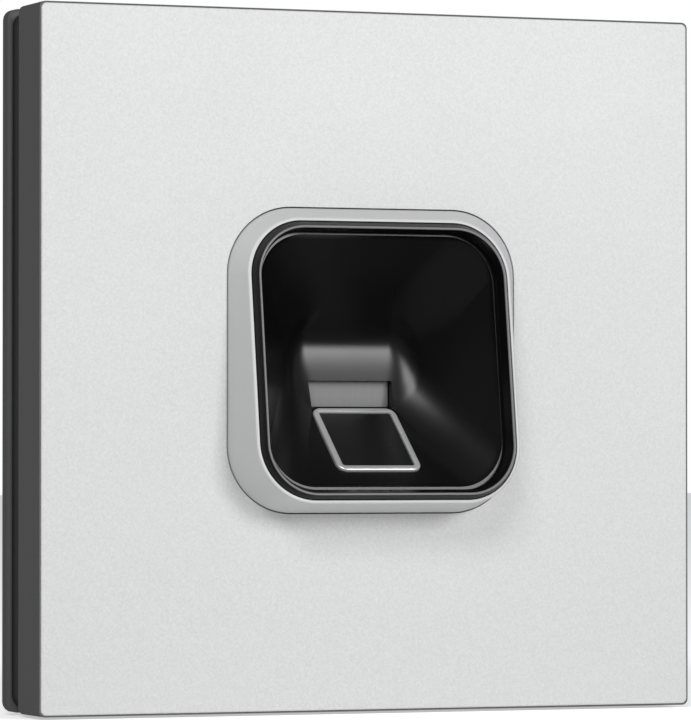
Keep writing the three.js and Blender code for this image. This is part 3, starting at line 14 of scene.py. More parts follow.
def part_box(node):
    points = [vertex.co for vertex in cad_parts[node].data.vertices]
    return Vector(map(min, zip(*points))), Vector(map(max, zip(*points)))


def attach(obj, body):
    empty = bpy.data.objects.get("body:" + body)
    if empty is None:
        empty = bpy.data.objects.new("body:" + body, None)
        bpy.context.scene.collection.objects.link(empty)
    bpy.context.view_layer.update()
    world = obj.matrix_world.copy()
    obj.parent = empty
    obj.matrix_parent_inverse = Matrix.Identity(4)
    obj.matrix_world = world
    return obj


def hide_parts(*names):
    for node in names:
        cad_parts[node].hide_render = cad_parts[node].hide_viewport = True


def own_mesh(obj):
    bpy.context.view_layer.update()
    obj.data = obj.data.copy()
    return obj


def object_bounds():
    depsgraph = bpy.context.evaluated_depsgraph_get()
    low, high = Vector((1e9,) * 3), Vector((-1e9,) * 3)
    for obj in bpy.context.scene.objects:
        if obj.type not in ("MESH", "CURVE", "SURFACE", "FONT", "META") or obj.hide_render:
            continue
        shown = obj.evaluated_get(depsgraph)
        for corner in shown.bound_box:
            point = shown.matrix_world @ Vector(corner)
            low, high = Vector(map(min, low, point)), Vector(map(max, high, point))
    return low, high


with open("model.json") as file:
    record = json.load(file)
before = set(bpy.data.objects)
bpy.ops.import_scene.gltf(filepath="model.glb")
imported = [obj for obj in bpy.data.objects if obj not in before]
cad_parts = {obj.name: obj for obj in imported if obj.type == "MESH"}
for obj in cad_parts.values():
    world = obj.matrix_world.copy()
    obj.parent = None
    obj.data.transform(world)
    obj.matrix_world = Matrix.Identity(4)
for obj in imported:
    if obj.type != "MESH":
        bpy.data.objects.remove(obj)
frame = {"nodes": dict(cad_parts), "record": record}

CAD_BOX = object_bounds()
LOG = logging.getLogger("terminal")
MM = 0.001
MERGE = 1e-6  # points closer than this are one, in metres
OVERRUN = 1 * MM  # how far a cutting tool passes the surface that it cuts
SMOOTH_ANGLE = math.radians(38)  # an edge that turns more than this is drawn sharp
RIM_STEPS = 24  # faces round each corner of the collar and the funnel
WHITE = (1.0, 1.0, 1.0)


# ---- Shader expressions ----


class Socket:
    """An output socket that takes part in Python arithmetic; each operator adds one Math node."""

    def __init__(self, nodes: "NodeTree", socket: bpy.types.NodeSocket) -> None:
        """Wraps a socket.

        Args:
            nodes: The tree that the socket's node is in.
            socket: The output socket.
        """
        self.nodes = nodes
        self.socket = socket

    def _math(self, operation: str, first: "Operand", second: "Operand" = 0.0) -> "Socket":
        """Adds a Math node and returns its result."""
        return self.nodes.node("ShaderNodeMath", {"operation": operation}, {0: first, 1: second})

    def __add__(self, other: "Operand") -> "Socket":
        """Returns this plus another value."""
        return self._math("ADD", self, other)

    def __sub__(self, other: "Operand") -> "Socket":
        """Returns this less another value."""
        return self._math("SUBTRACT", self, other)

    def __rsub__(self, other: "Operand") -> "Socket":
        """Returns another value less this."""
        return self._math("SUBTRACT", other, self)

    def __mul__(self, other: "Operand") -> "Socket":
        """Returns this times another value."""
        return self._math("MULTIPLY", self, other)

    __radd__ = __add__
    __rmul__ = __mul__

    def above(self, level: float) -> "Socket":
        """Returns 1 where this is over a level, else 0."""
        return self._math("GREATER_THAN", self, level)


Operand = Socket | float
Colour = tuple[float, float, float]


class NodeTree:
    """A node tree in which one method makes every node."""

    def __init__(self, tree: bpy.types.NodeTree) -> None:
        """Empties a tree and takes it over.

        Args:
            tree: The tree of a material or of the world.
        """
        self.tree = tree
        self.tree.nodes.clear()

    def add(
        self, kind: str, settings: dict[str, object], inputs: dict[str | int, object]
    ) -> bpy.types.Node:
        """Adds a node.

        Args:
            kind: The node's type.
            settings: Its properties, set before its inputs.
            inputs: A value or a socket for each input that is set.

        Returns:
            The node.
        """
        made = self.tree.nodes.new(kind)
        for key, value in settings.items():
            setattr(made, key, value)
        for key, value in inputs.items():
            self._feed(made.inputs[key], value)
        return made

    def node(
        self,
        kind: str,
        settings: dict[str, object],
        inputs: dict[str | int, object],
        output: str | int = 0,
    ) -> Socket:
        """Adds a node and returns one of its outputs, the first unless another is named."""
        return Socket(self, self.add(kind, settings, inputs).outputs[output])

    def _feed(self, target: bpy.types.NodeSocket, value: object) -> None:
        """Links a socket to an input, or sets the input's own value.

        Args:
            target: The input.
            value: A socket, a number, a vector or a colour.
        """
        if isinstance(value, Socket):
            self.tree.links.new(value.socket, target)
        elif target.type == "RGBA":
            target.default_value = (*value, 1.0)
        else:
            target.default_value = value


class Shader(NodeTree):
    """A material's node tree, with one Principled shader at its end."""

    def __init__(self, name: str) -> None:
        """Starts an empty material.

        Args:
            name: The material's name.
        """
        self.material = bpy.data.materials.new(name)
        self.material.use_nodes = True
        super().__init__(self.material.node_tree)
        self.surface = self.add("ShaderNodeBsdfPrincipled", {}, {})
        result = Socket(self, self.surface.outputs["BSDF"])
        self.add("ShaderNodeOutputMaterial", {}, {"Surface": result})

    def feed(self, **values: object) -> None:
        """Sets the Principled shader's inputs; an underscore in a name stands for a space."""
        for key, value in values.items():
            self._feed(self.surface.inputs[key.replace("_", " ")], value)

    def place(self, stretch: tuple[float, float, float] = (1.0, 1.0, 1.0)) -> Socket:
        """Returns the point on the piece, in metres, with each axis stretched."""
        point = self.node("ShaderNodeTexCoord", {}, {}, "Object")
        return self.node("ShaderNodeMapping", {}, {"Vector": point, "Scale": stretch})

    def noise(self, size: float, detail: float = 2.0, where: Socket | None = None) -> Socket:
        """Returns noise from 0 to 1.

        Args:
            size: The width of its features, in metres.
            detail: How many finer layers it has.
            where: The point it is read at.

        Returns:
            The noise.
        """
        inputs = {"Vector": where or self.place(), "Scale": 1 / size, "Detail": detail}
        return self.node("ShaderNodeTexNoise", {}, inputs, "Fac")

    def tint(self, share: Operand, low: Colour, high: Colour) -> Socket:
        """Returns a colour between two, by a share from 0 to 1."""
        settings = {"data_type": "RGBA", "clamp_factor": True}
        return self.node("ShaderNodeMix", settings, {0: share, 6: low, 7: high}, 2)

    def bump(self, height: Socket, strength: float, depth: float) -> Socket:
        """Returns a normal for a height from 0 to 1 over a depth in metres."""
        return self.node("ShaderNodeBump", {}, {"Strength": strength, "Distance": depth, "Height": height})


def shade(colour: Colour, by: float) -> Colour:
    """Returns a colour made lighter or darker by a factor."""
    return tuple(min(1.0, max(0.0, part * by)) for part in colour)


# ---- Finishes ----


@dataclass(frozen=True)
class Finish:
    """A surface with a fine grain, a slow change of tone and handling marks in its gloss."""

    name: str
    colour: Colour
    roughness: float
    metallic: float = 0.0
    grain: float = 0.25 * MM
    grain_depth: float = 0.01 * MM
    grain_strength: float = 0.4
    grain_tone: float = 0.06
    drift: float = 14 * MM
    drift_tone: float = 0.04
    gloss_change: float = 0.06
    specular: float = 0.5
    coat: float = 0.0
    detail: float = 3.0

    def make(self) -> bpy.types.Material:
        """Makes the finish's material.

        Returns:
            The material.
        """
        shader = Shader(self.name)
        grain = self.grain_height(shader)
        drift = shader.noise(self.drift, self.detail)
        tone = grain * self.grain_tone + drift * self.drift_tone
        share = tone * (1 / (self.grain_tone + self.drift_tone))
        spread = (self.grain_tone + self.drift_tone) / 2
        low, high = shade(self.colour, 1 - spread), shade(self.colour, 1 + spread)
        gloss = drift * (2 * self.gloss_change) + (self.roughness - self.gloss_change)
        shader.feed(
            Base_Color=shader.tint(share, low, high),
            Roughness=gloss,
            Metallic=self.metallic,
            Coat_Weight=self.coat,
            Specular_IOR_Level=self.specular,
            Normal=shader.bump(grain, self.grain_strength, self.grain_depth),
        )
        self.extra(shader)
        return shader.material

    def grain_height(self, shader: Shader) -> Socket:
        """Returns the height of the surface's grain."""
        return shader.noise(self.grain, self.detail)

    def extra(self, shader: Shader) -> None:
        """Adds what only this finish has."""


@dataclass(frozen=True)
class DrawnMetal(Finish):
    """Metal with fine lines drawn along X."""

    draw: float = 14.0

    def grain_height(self, shader: Shader) -> Socket:
        """Returns the height of the drawn lines."""
        return shader.noise(self.grain, where=shader.place((1 / self.draw, 1.0, 1.0)))


@dataclass(frozen=True)
class Frosted(Finish):
    """A frosted light window, with faint upright flow lines."""

    lines: float = 0.45 * MM
    stretch: tuple[float, float, float] = (1.0, 0.1, 0.08)
    frost: float = 0.4

    def grain_height(self, shader: Shader) -> Socket:
        """Returns a fine frost over the flow lines."""
        flow = shader.noise(self.lines, 1.0, shader.place(self.stretch))
        return shader.noise(self.grain) * self.frost + flow * (1 - self.frost)


@dataclass(frozen=True)
class CircuitBoard(Finish):
    """Solder mask over copper tracks and a ground area."""

    track: float = 1.7 * MM
    wander: float = 0.35
    gap_share: float = 0.12
    gap_tone: float = 0.7
    copper_tone: float = 1.5
    copper_strength: float = 0.3
    copper_height: float = 0.04 * MM

    def extra(self, shader: Shader) -> None:
        """Lifts the tracks out of the solder mask.

        Args:
            shader: The finish's shader.
        """
        settings = {"feature": "DISTANCE_TO_EDGE", "distance": "EUCLIDEAN"}
        inputs = {"Vector": shader.place(), "Scale": 1 / self.track, "Randomness": self.wander}
        area = shader.node("ShaderNodeTexVoronoi", settings, inputs).above(self.gap_share)
        gaps, copper = shade(self.colour, self.gap_tone), shade(self.colour, self.copper_tone)
        height = shader.bump(area, self.copper_strength, self.copper_height)
        shader.feed(Base_Color=shader.tint(area, gaps, copper), Normal=height)


@dataclass(frozen=True)
class CellFoam(Finish):
    """Closed-cell foam."""

    def grain_height(self, shader: Shader) -> Socket:
        """Makes the height of the cut cells.

        Args:
            shader: The finish's shader.

        Returns:
            The height.
        """
        settings = {"feature": "SMOOTH_F1"}
        inputs = {"Vector": shader.place(), "Scale": 1 / self.grain}
        return shader.node("ShaderNodeTexVoronoi", settings, inputs, "Distance")


@dataclass(frozen=True)
class FloorPaint(Finish):
    """Pale paint that keeps a little light of its own, so that the floor meets the background."""

    glow: float = 0.5

    def extra(self, shader: Shader) -> None:
        """Adds the floor's own light."""
        shader.feed(Emission_Color=self.colour, Emission_Strength=self.glow)


@dataclass(frozen=True)
class PaintedCrestHighlight(Finish):
    """Black plastic with a painted highlight: a pale line painted along its foremost edge, where the
    rounded crest catches the light.
    """

    front: float = 0.0
    lean: float = 0.0
    width: float = 0.22 * MM
    fade: float = 0.11 * MM
    # the colour of the painted highlight along the crest
    painted_highlight: Colour = (0.17, 0.17, 0.173)

    def extra(self, shader: Shader) -> None:
        """Paints a highlight on what lies just behind the crest's plane.

        Args:
            shader: The finish's shader.
        """
        point = {"Vector": shader.place()}
        depth = shader.node("ShaderNodeSeparateXYZ", {}, point, "Y")
        height = shader.node("ShaderNodeSeparateXYZ", {}, point, "Z")
        behind = depth - height * self.lean - self.front
        line = (self.width - behind) * (1 / self.fade)
        shader.feed(Base_Color=shader.tint(line, self.colour, self.painted_highlight))


FINISHES: dict[str, Finish] = {
    "aluminium_face": Finish(
        "blasted_aluminium", (0.505, 0.507, 0.511), 0.55, metallic=0.22, grain=0.28 * MM,
        grain_depth=0.012 * MM, grain_strength=0.35, grain_tone=0.34, drift=30 * MM, drift_tone=0.02,
    ),
    "collar_finish": Finish(
        "satin_silver", (0.455, 0.457, 0.461), 0.5, metallic=0.1, grain=0.16 * MM,
        grain_strength=0.25, grain_tone=0.06, drift=9 * MM, drift_tone=0.04,
    ),
    "carrier_plastic": Finish(
        "carrier_plastic", (0.073, 0.0735, 0.0755), 0.55, grain=0.22 * MM, grain_depth=0.02 * MM,
        grain_tone=0.16, drift_tone=0.06,
    ),
    "plate_plastic": Finish(
        "plate_plastic", (0.061, 0.0616, 0.0635), 0.6, grain=0.3 * MM, grain_depth=0.03 * MM,
        grain_tone=0.16, drift_tone=0.08,
    ),
    "black_plastic": Finish(
        "satin_black", (0.003, 0.003, 0.0031), 0.3, grain=0.14 * MM, grain_depth=0.012 * MM,
        grain_strength=0.35, grain_tone=0.3, gloss_change=0.03, specular=0.36,
    ),
    "silver_bezel": DrawnMetal(
        "satin_bezel", (0.66, 0.662, 0.67), 0.3, metallic=0.6, grain=0.06 * MM, grain_depth=0.004 * MM,
        grain_strength=0.3, grain_tone=0.08,
    ),
    "sensor_glass": Finish(
        "sensor_coating", (0.006, 0.006, 0.0065), 0.3, grain=0.09 * MM, grain_depth=0.003 * MM,
        grain_strength=0.2, grain_tone=0.2, drift=3 * MM, coat=0.15,
    ),
    "light_window": Frosted(
        "frosted_window", (0.175, 0.176, 0.179), 0.55, grain=0.1 * MM, grain_strength=0.3,
        grain_tone=0.16, drift=4 * MM,
    ),
    "board_laminate": CircuitBoard("circuit_board", (0.02, 0.09, 0.04), 0.4, coat=0.3),
    "chip_epoxy": Finish("chip_epoxy", (0.02, 0.02, 0.022), 0.5, grain=0.12 * MM, grain_tone=0.25),
    "steel": DrawnMetal("zinc_steel", (0.55, 0.555, 0.56), 0.36, metallic=0.95, grain=0.09 * MM),
    "seal_rubber": Finish("seal_rubber", (0.02, 0.02, 0.02), 0.8, grain=0.2 * MM, grain_tone=0.2),
    "foam": CellFoam(
        "gasket_foam", (0.03, 0.03, 0.032), 0.92, grain=0.45 * MM, grain_depth=0.12 * MM,
        grain_strength=0.7, grain_tone=0.5,
    ),
    "tape": Finish("adhesive_film", (0.6, 0.58, 0.5), 0.6, grain_tone=0.1),
    "white_plastic": Finish("white_plastic", (0.68, 0.68, 0.66), 0.45, grain=0.2 * MM, grain_tone=0.05),
    "flex_film": DrawnMetal("flex_film", (0.35, 0.16, 0.04), 0.35, grain=0.2 * MM, coat=0.3),
    "terminal_green": Finish("terminal_plastic", (0.04, 0.16, 0.06), 0.45, grain_tone=0.1),
}


# ---- Shapes ----


@dataclass(frozen=True)
class Outline:
    """A rounded rectangle seen from the front, in metres."""

    half_width: float
    half_height: float
    radius: float
    centre_z: float = 0.0
    least_radius: float = 0.1 * MM

    def grown(self, by: float, radius_by: float | None = None) -> "Outline":
        """Moves the outline outwards all round.

        Args:
            by: How far, or how far inwards if it is negative.
            radius_by: What its corners' radius gains, the same unless it is given.

        Returns:
            The moved outline.
        """
        gain = by if radius_by is None else radius_by
        radius = max(self.radius + gain, self.least_radius)
        wider, taller = self.half_width + by, self.half_height + by
        return replace(self, half_width=wider, half_height=taller, radius=radius)


@dataclass(frozen=True)
class Level:
    """An outline at a depth, which may lean with its height, and how far its edge is rounded."""

    outline: Outline
    depth: float
    lean: float = 0.0
    rounding: float = 0.0
    steps: int = 3


def crosses_axis(edge: bmesh.types.BMEdge) -> bool:
    """Tells whether an edge's middle lies on one of the outline's two axes."""
    middle = (edge.verts[0].co + edge.verts[1].co) / 2
    return min(abs(middle.x), abs(middle.y)) < MERGE


@dataclass
class Skin:
    """A mesh skinned over levels of rounded rectangles."""

    corner_steps: int = 14
    side_cuts: int = 7
    bm: bmesh.types.BMesh = field(default_factory=bmesh.new)

    def loop(self, level: Level) -> list[bmesh.types.BMEdge]:
        """Draws a level's outline.

        Args:
            level: The level to draw.

        Returns:
            The outline's edges.
        """
        outline = level.outline
        corners = bmesh.ops.create_grid(self.bm, x_segments=1, y_segments=1, size=1.0)["verts"]
        size = Matrix.Diagonal((outline.half_width, outline.half_height, 1.0, 1.0))
        bmesh.ops.transform(self.bm, matrix=size, verts=corners)
        bmesh.ops.bevel(
            self.bm, geom=corners, offset=outline.radius, offset_type="OFFSET", affect="VERTICES",
            segments=self.corner_steps, profile=0.5, material=-1, clamp_overlap=False,
        )
        [face] = self.bm.faces
        sides = [edge for edge in face.edges if crosses_axis(edge)]
        bmesh.ops.subdivide_edges(self.bm, edges=sides, cuts=self.side_cuts)
        [face] = self.bm.faces
        upright = Matrix.Rotation(math.pi / 2, 4, "X")
        move = Matrix.Translation((0.0, level.depth, outline.centre_z))
        shear = Matrix.Identity(4)
        shear[1][2] = level.lean
        lean_back = Matrix.Translation((0.0, level.lean * outline.centre_z, 0.0))
        place = lean_back @ move @ shear @ upright
        bmesh.ops.transform(self.bm, matrix=place, verts=list(face.verts))
        edges = list(face.edges)
        bmesh.ops.delete(self.bm, geom=[face], context="FACES_ONLY")
        return edges

    def cover(self, levels: list[Level]) -> "Skin":
        """Bridges the levels in order and fills both ends. No two neighbours share a plane.

        Args:
            levels: The levels, from one end to the other.

        Returns:
            This skin.
        """
        loops = [self.loop(level) for level in levels]
        for first, second in zip(loops, loops[1:]):
            bmesh.ops.bridge_loops(self.bm, edges=[*first, *second])
        for end in (loops[0], loops[-1]):
            bmesh.ops.contextual_create(self.bm, geom=end)
        for level, edges in zip(levels, loops):
            if level.rounding:
                bmesh.ops.bevel(
                    self.bm, geom=edges, offset=level.rounding, offset_type="OFFSET",
                    affect="EDGES", segments=level.steps, profile=0.5, material=-1,
                    clamp_overlap=True,
                )
        return self

    def turned(self, matrix: Matrix) -> "Skin":
        """Moves the whole mesh by a matrix and returns this skin."""
        bmesh.ops.transform(self.bm, matrix=matrix, verts=self.bm.verts)
        return self

    def piece(self, name: str) -> bpy.types.Object:
        """Makes the mesh an object with outward faces.

        Args:
            name: The object's name.

        Returns:
            The object, at the origin.
        """
        bmesh.ops.remove_doubles(self.bm, verts=self.bm.verts, dist=MERGE)
        face_outwards(self.bm)
        return object_of(self.bm, name)


def face_outwards(bm: bmesh.types.BMesh) -> None:
    """Turns the faces of a closed shape outwards, which its signed volume proves.

    Args:
        bm: The closed shape.
    """
    bmesh.ops.recalc_face_normals(bm, faces=bm.faces)
    if bm.calc_volume(signed=True) < 0:
        bmesh.ops.reverse_faces(bm, faces=bm.faces)


def mark_edges(bm: bmesh.types.BMesh) -> None:
    """Makes every face smooth and every edge over the smooth angle sharp.

    Args:
        bm: The shape to mark.
    """
    for face in bm.faces:
        face.smooth = True
    for edge in bm.edges:
        edge.smooth = len(edge.link_faces) == 2 and edge.calc_face_angle(0.0) < SMOOTH_ANGLE


def object_of(bm: bmesh.types.BMesh, name: str) -> bpy.types.Object:
    """Makes an object of a bmesh, smooth except over its sharp edges, and frees the bmesh.

    Args:
        bm: The finished shape.
        name: The piece's name.

    Returns:
        The object, at the origin.
    """
    mark_edges(bm)
    mesh = bpy.data.meshes.new(name)
    bm.to_mesh(mesh)
    bm.free()
    made = bpy.data.objects.new(name, mesh)
    bpy.context.scene.collection.objects.link(made)
    return made


def block(name: str, low: Vector, high: Vector) -> bpy.types.Object:
    """Makes a rectangular block between two corners.

    Args:
        name: The block's name.
        low: Its lowest corner.
        high: Its highest corner.

    Returns:
        The block.
    """
    bm = bmesh.new()
    size = Matrix.Diagonal((*(high - low), 1.0))
    bmesh.ops.create_cube(bm, size=1.0, matrix=Matrix.Translation((low + high) / 2) @ size)
    return object_of(bm, name)


def volume(mesh: bpy.types.Mesh) -> float:
    """Measures the volume inside a mesh.

    Args:
        mesh: A closed mesh.

    Returns:
        Its volume in cubic metres, negative if it is inside out.
    """
    bm = bmesh.new()
    bm.from_mesh(mesh)
    inside = bm.calc_volume(signed=True)
    bm.free()
    return inside


class Combine(Enum):
    """How a tool changes a piece."""

    JOIN = "UNION"
    CUT = "DIFFERENCE"


def combine(piece: bpy.types.Object, how: Combine, tools: list[bpy.types.Object]) -> None:
    """Joins solids to a piece, or cuts them out of it, one after another, and removes them.

    Args:
        piece: The piece that changes.
        how: Whether the tools are joined or cut.
        tools: Closed solids.

    Raises:
        ValueError: The volume didn't change the way that the tool should change it.
    """
    for tool in tools:
        before = volume(piece.data)
        change = piece.modifiers.new(how.name.lower(), "BOOLEAN")
        change.operation = how.value
        change.solver = "EXACT"
        change.object = tool
        graph = bpy.context.evaluated_depsgraph_get()
        made = bpy.data.meshes.new_from_object(piece.evaluated_get(graph))
        piece.modifiers.clear()
        bm = bmesh.new()
        bm.from_mesh(made)
        bmesh.ops.remove_doubles(bm, verts=bm.verts, dist=MERGE)
        bmesh.ops.dissolve_degenerate(bm, edges=bm.edges, dist=MERGE)
        mark_edges(bm)
        bm.to_mesh(made)
        bm.free()
        piece.data = made
        after = volume(made)
        if after <= 0 or (after > before) != (how is Combine.JOIN):
            raise ValueError(f"{piece.name}: {tool.name} took {before} to {after} cubic metres")
        bpy.data.objects.remove(tool)


def weigh_normals(piece: bpy.types.Object, weight: int = 80) -> None:
    """Lets large flat faces rule the shading of the rounded edges beside them.

    Args:
        piece: The piece to shade.
        weight: How strongly the larger faces rule.
    """
    change = piece.modifiers.new("even_shading", "WEIGHTED_NORMAL")
    change.keep_sharp = True
    change.weight = weight


# ---- The frame's own values ----


class Body(Enum):
    """The bodies of the part."""

    TERMINAL = "terminal"
    PLUNGER = "tamper_plunger"
    LATCH = "release_latch"


class Joint(Enum):
    """The joints of the part."""

    LATCH = "release_latch_travel"


SLOTS = {entry["node"]: entry["material_slot"] for entry in frame["record"]["subparts"]}
BODY_OF = {
    node: Body(name)
    for name, nodes in frame["record"]["behaviour"]["bodies"].items()
    for node in nodes
}


class Wardrobe:
    """Makes each finish once and puts it on pieces."""

    def __init__(self) -> None:
        """Starts with nothing made."""
        self.made: dict[str, bpy.types.Material] = {}
        self.replaced: set[str] = set()

    def material(self, slot: str) -> bpy.types.Material:
        """Finds a slot's material, and makes it the first time.

        Args:
            slot: The slot's name in the record.

        Returns:
            The material.
        """
        if slot not in self.made:
            self.made[slot] = FINISHES[slot].make()
        return self.made[slot]

    def dress(self, piece: bpy.types.Object, node: str, finish: Finish | None = None) -> None:
        """Gives a new piece the finish, body and place in the table of the node it stands for.

        Args:
            piece: The new piece.
            node: The node it replaces.
            finish: A finish of its own, in place of its slot's.
        """
        slot = SLOTS[node]
        piece.data.materials.clear()
        piece.data.materials.append(finish.make() if finish else self.material(slot))
        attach(piece, BODY_OF[node].value)
        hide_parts(node)
        self.replaced.add(node)
        LOG.info("%s: %d faces, %s", piece.name, len(piece.data.polygons), slot)

    def dress_the_rest(self) -> None:
        """Gives each node that stays its finish."""
        for node, made in frame["nodes"].items():
            if node in self.replaced:
                continue
            if not made.material_slots:
                made.data.materials.append(None)
            for place in made.material_slots:
                place.material = self.material(SLOTS[node])
            LOG.info("%s: kept, %s", node, SLOTS[node])


# ---- Sub-assemblies ----


@dataclass
class Rim:
    """What the sheet, the collar and the funnel share: their outlines and the leaning plane."""

    base: Outline = Outline(23.45 * MM, 23.1 * MM, 10.2 * MM)
    bore: Outline = Outline(20.95 * MM, 21.1 * MM, 8.6 * MM)
    flange: Outline = Outline(28.05 * MM, 27.7 * MM, 5 * MM)
    flange_thickness: float = 1.2 * MM
    lean: float = 0.145
    collar_reach: float = 5.34 * MM
    rim_reach: float = 6.75 * MM

    @property
    def face(self) -> float:
        """The depth of the face."""
        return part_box("front_sheet")[0].y

    def plane(self, reach: float) -> float:
        """Returns the depth at mid height of a plane so far in front of the face."""
        return self.face - reach

    def flange_slab(self, front: float) -> bpy.types.Object:
        """Returns the flange as a slab that starts at a depth."""
        levels = [Level(self.flange, front), Level(self.flange, front + self.flange_thickness)]
        return Skin().cover(levels).piece("flange_slab")


def hole(
    outline: Outline,
    front: float,
    back: float,
    edge: float,
    lean: float = 0.0,
    steps: int = RIM_STEPS,
    knee: float = 0.3,
) -> bpy.types.Object:
    """Makes the solid that a hole is cut with, flared to ease the edge at its front.

    Args:
        outline: The hole's outline.
        front: The depth of the surface that it starts at.
        back: The depth of the surface that it leaves by.
        edge: How wide the eased edge is.
        lean: How far the front leans back with height.
        steps: The steps round each corner.
        knee: Where the eased edge bends, as a share of its width.

    Returns:
        The solid.
    """
    wide = outline.grown(edge)
    bend = outline.grown(edge * knee)
    levels = [
        Level(wide, front - OVERRUN, lean),
        Level(wide, front, lean),
        Level(bend, front + edge * knee, lean),
        Level(outline, front + edge, lean),
        Level(outline, back + OVERRUN),
    ]
    return Skin(steps).cover(levels).piece("hole")


@dataclass
class FrontSheet:
    """The blasted aluminium sheet with its opening for the collar."""

    rim: Rim
    corner: float = 0.9 * MM
    edge: float = 0.22 * MM
    edge_steps: int = 4
    collar_gap: float = 0.15 * MM

    def build(self, wardrobe: Wardrobe) -> None:
        """Builds and dresses the sheet.

        Args:
            wardrobe: Gives each piece its finish, body and place in the table.
        """
        low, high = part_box("front_sheet")
        outer = Outline(high.x, high.z, self.corner)
        front = Level(outer, low.y, rounding=self.edge, steps=self.edge_steps)
        levels = [Level(outer, high.y), front]
        piece = Skin().cover(levels).piece("face_sheet")
        opening = self.rim.base.grown(self.collar_gap)
        combine(piece, Combine.CUT, [hole(opening, low.y, high.y, self.edge / 3)])
        weigh_normals(piece)
        wardrobe.dress(piece, "front_sheet")


@dataclass
class Collar:
    """The silver collar that stands round the funnel."""

    rim: Rim
    wall: float = 0.5 * MM
    edge: float = 0.22 * MM
    edge_steps: int = 4
    foot_edge: float = 0.3 * MM

    def build(self, wardrobe: Wardrobe) -> None:
        """Builds and dresses the collar.

        Args:
            wardrobe: Gives each piece its finish, body and place in the table.
        """
        rim = self.rim
        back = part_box("collar")[1].y
        front = rim.plane(rim.collar_reach)
        levels = [
            Level(rim.base, back - rim.flange_thickness / 2),
            Level(rim.base, rim.face, rounding=self.foot_edge),
            Level(rim.bore.grown(self.wall), front, rim.lean, self.edge, self.edge_steps),
        ]
        piece = Skin(RIM_STEPS).cover(levels).piece("funnel_collar")
        combine(piece, Combine.JOIN, [rim.flange_slab(back - rim.flange_thickness)])
        bore = hole(rim.bore, front, back, self.edge / 2, rim.lean)
        combine(piece, Combine.CUT, [bore])
        weigh_normals(piece)
        wardrobe.dress(piece, "collar")


@dataclass
class Sensor:
    """The sensor's frame and pad, on a plane that rises towards the back."""

    rim: Rim
    tilt: float = math.radians(38.7)
    centre_depth: float = 2.15 * MM
    centre_z: float = -11.76 * MM
    outline: Outline = Outline(6.9 * MM, 7.55 * MM, 1.6 * MM)
    band: float = 1.0 * MM
    band_edge: float = 0.26 * MM
    band_edge_steps: int = 5
    opening_radius: float = 0.5 * MM
    opening_edge: float = 0.08 * MM
    corner_steps: int = 12
    thickness: float = 1.2 * MM
    standoff: float = 0.35 * MM
    fit: float = 0.15 * MM
    pad_setback: float = 0.2 * MM
    pad_thickness: float = 0.8 * MM
    pad_gap: float = 0.05 * MM
    pad_edge: float = 0.1 * MM
    pad_steps: int = 8
    module_inset: float = 0.75 * MM
    module_sharper: float = 1.2 * MM
    pocket_reach: float = 3 * MM
    seat_wall: float = 1.2 * MM
    seat_depth: float = 1.5 * MM
    ear: Outline = Outline(11.3 * MM, 2 * MM, 1.95 * MM)
    ear_setback: float = 0.3 * MM

    @property
    def matrix(self) -> Matrix:
        """The turn from the sensor's own frame, where -Y is its normal, to its place.

        Returns:
            The matrix.
        """
        turn = Matrix.Rotation(self.tilt - math.pi / 2, 4, "X")
        centre = (0.0, self.rim.face + self.centre_depth, self.centre_z)
        return Matrix.Translation(centre) @ turn

    def solid(self, outline: Outline, top: float, bottom: float, name: str) -> bpy.types.Object:
        """Returns a straight solid on the sensor's plane, between two depths below it."""
        levels = [Level(outline, top), Level(outline, bottom)]
        return Skin(self.pad_steps, 1).cover(levels).turned(self.matrix).piece(name)

    def mounts(self) -> list[bpy.types.Object]:
        """Makes what carries the sensor behind the funnel's floor.

        Returns:
            The solids to join.
        """
        back = self.seat_depth + self.seat_wall
        seat = self.outline.grown(self.seat_wall, 0.0)
        ears_top = self.standoff + self.ear_setback
        return [
            self.solid(seat, self.standoff, back, "seat"),
            self.solid(self.ear, ears_top, back, "ears"),
        ]

    def pockets(self) -> list[bpy.types.Object]:
        """Makes what the seats of the frame and of the module are cut with.

        Returns:
            The solids to cut with.
        """
        seat = self.outline.grown(self.fit)
        module = self.outline.grown(self.fit - self.module_inset, -self.module_sharper)
        back = self.seat_depth + self.seat_wall + self.pocket_reach
        return [
            self.solid(seat, -self.pocket_reach, self.seat_depth, "frame_pocket"),
            self.solid(module, 0.0, back, "module_pocket"),
        ]

    def floor_z(self, depth: float) -> float:
        """Returns the height of the funnel's floor at a depth."""
        rise = (depth - self.rim.face - self.centre_depth) * math.tan(self.tilt)
        return self.centre_z + rise - self.standoff / math.cos(self.tilt)

    def floor_depth(self, height: float) -> float:
        """Returns the depth of the funnel's floor at a height."""
        start = self.rim.face
        return start + (height - self.floor_z(start)) / math.tan(self.tilt)

    def build(self, wardrobe: Wardrobe) -> None:
        """Builds and dresses the frame and the pad.

        Args:
            wardrobe: Gives each piece its finish, body and place in the table.
        """
        inner = replace(self.outline.grown(-self.band), radius=self.opening_radius)
        levels = [
            Level(self.outline, self.thickness),
            Level(self.outline, 0.0, rounding=self.band_edge, steps=self.band_edge_steps),
        ]
        bezel = Skin(self.corner_steps).cover(levels).piece("sensor_bezel")
        opening = hole(inner, 0.0, self.thickness, self.opening_edge, steps=self.corner_steps)
        combine(bezel, Combine.CUT, [opening])
        bezel.data.transform(self.matrix)
        wardrobe.dress(bezel, "sensor_frame")
        pad = inner.grown(-self.pad_gap)
        levels = [
            Level(pad, self.pad_setback + self.pad_thickness),
            Level(pad, self.pad_setback, rounding=self.pad_edge),
        ]
        plate = Skin(self.pad_steps).cover(levels).turned(self.matrix).piece("sensor_plate")
        weigh_normals(plate)
        wardrobe.dress(plate, "sensor_pad")


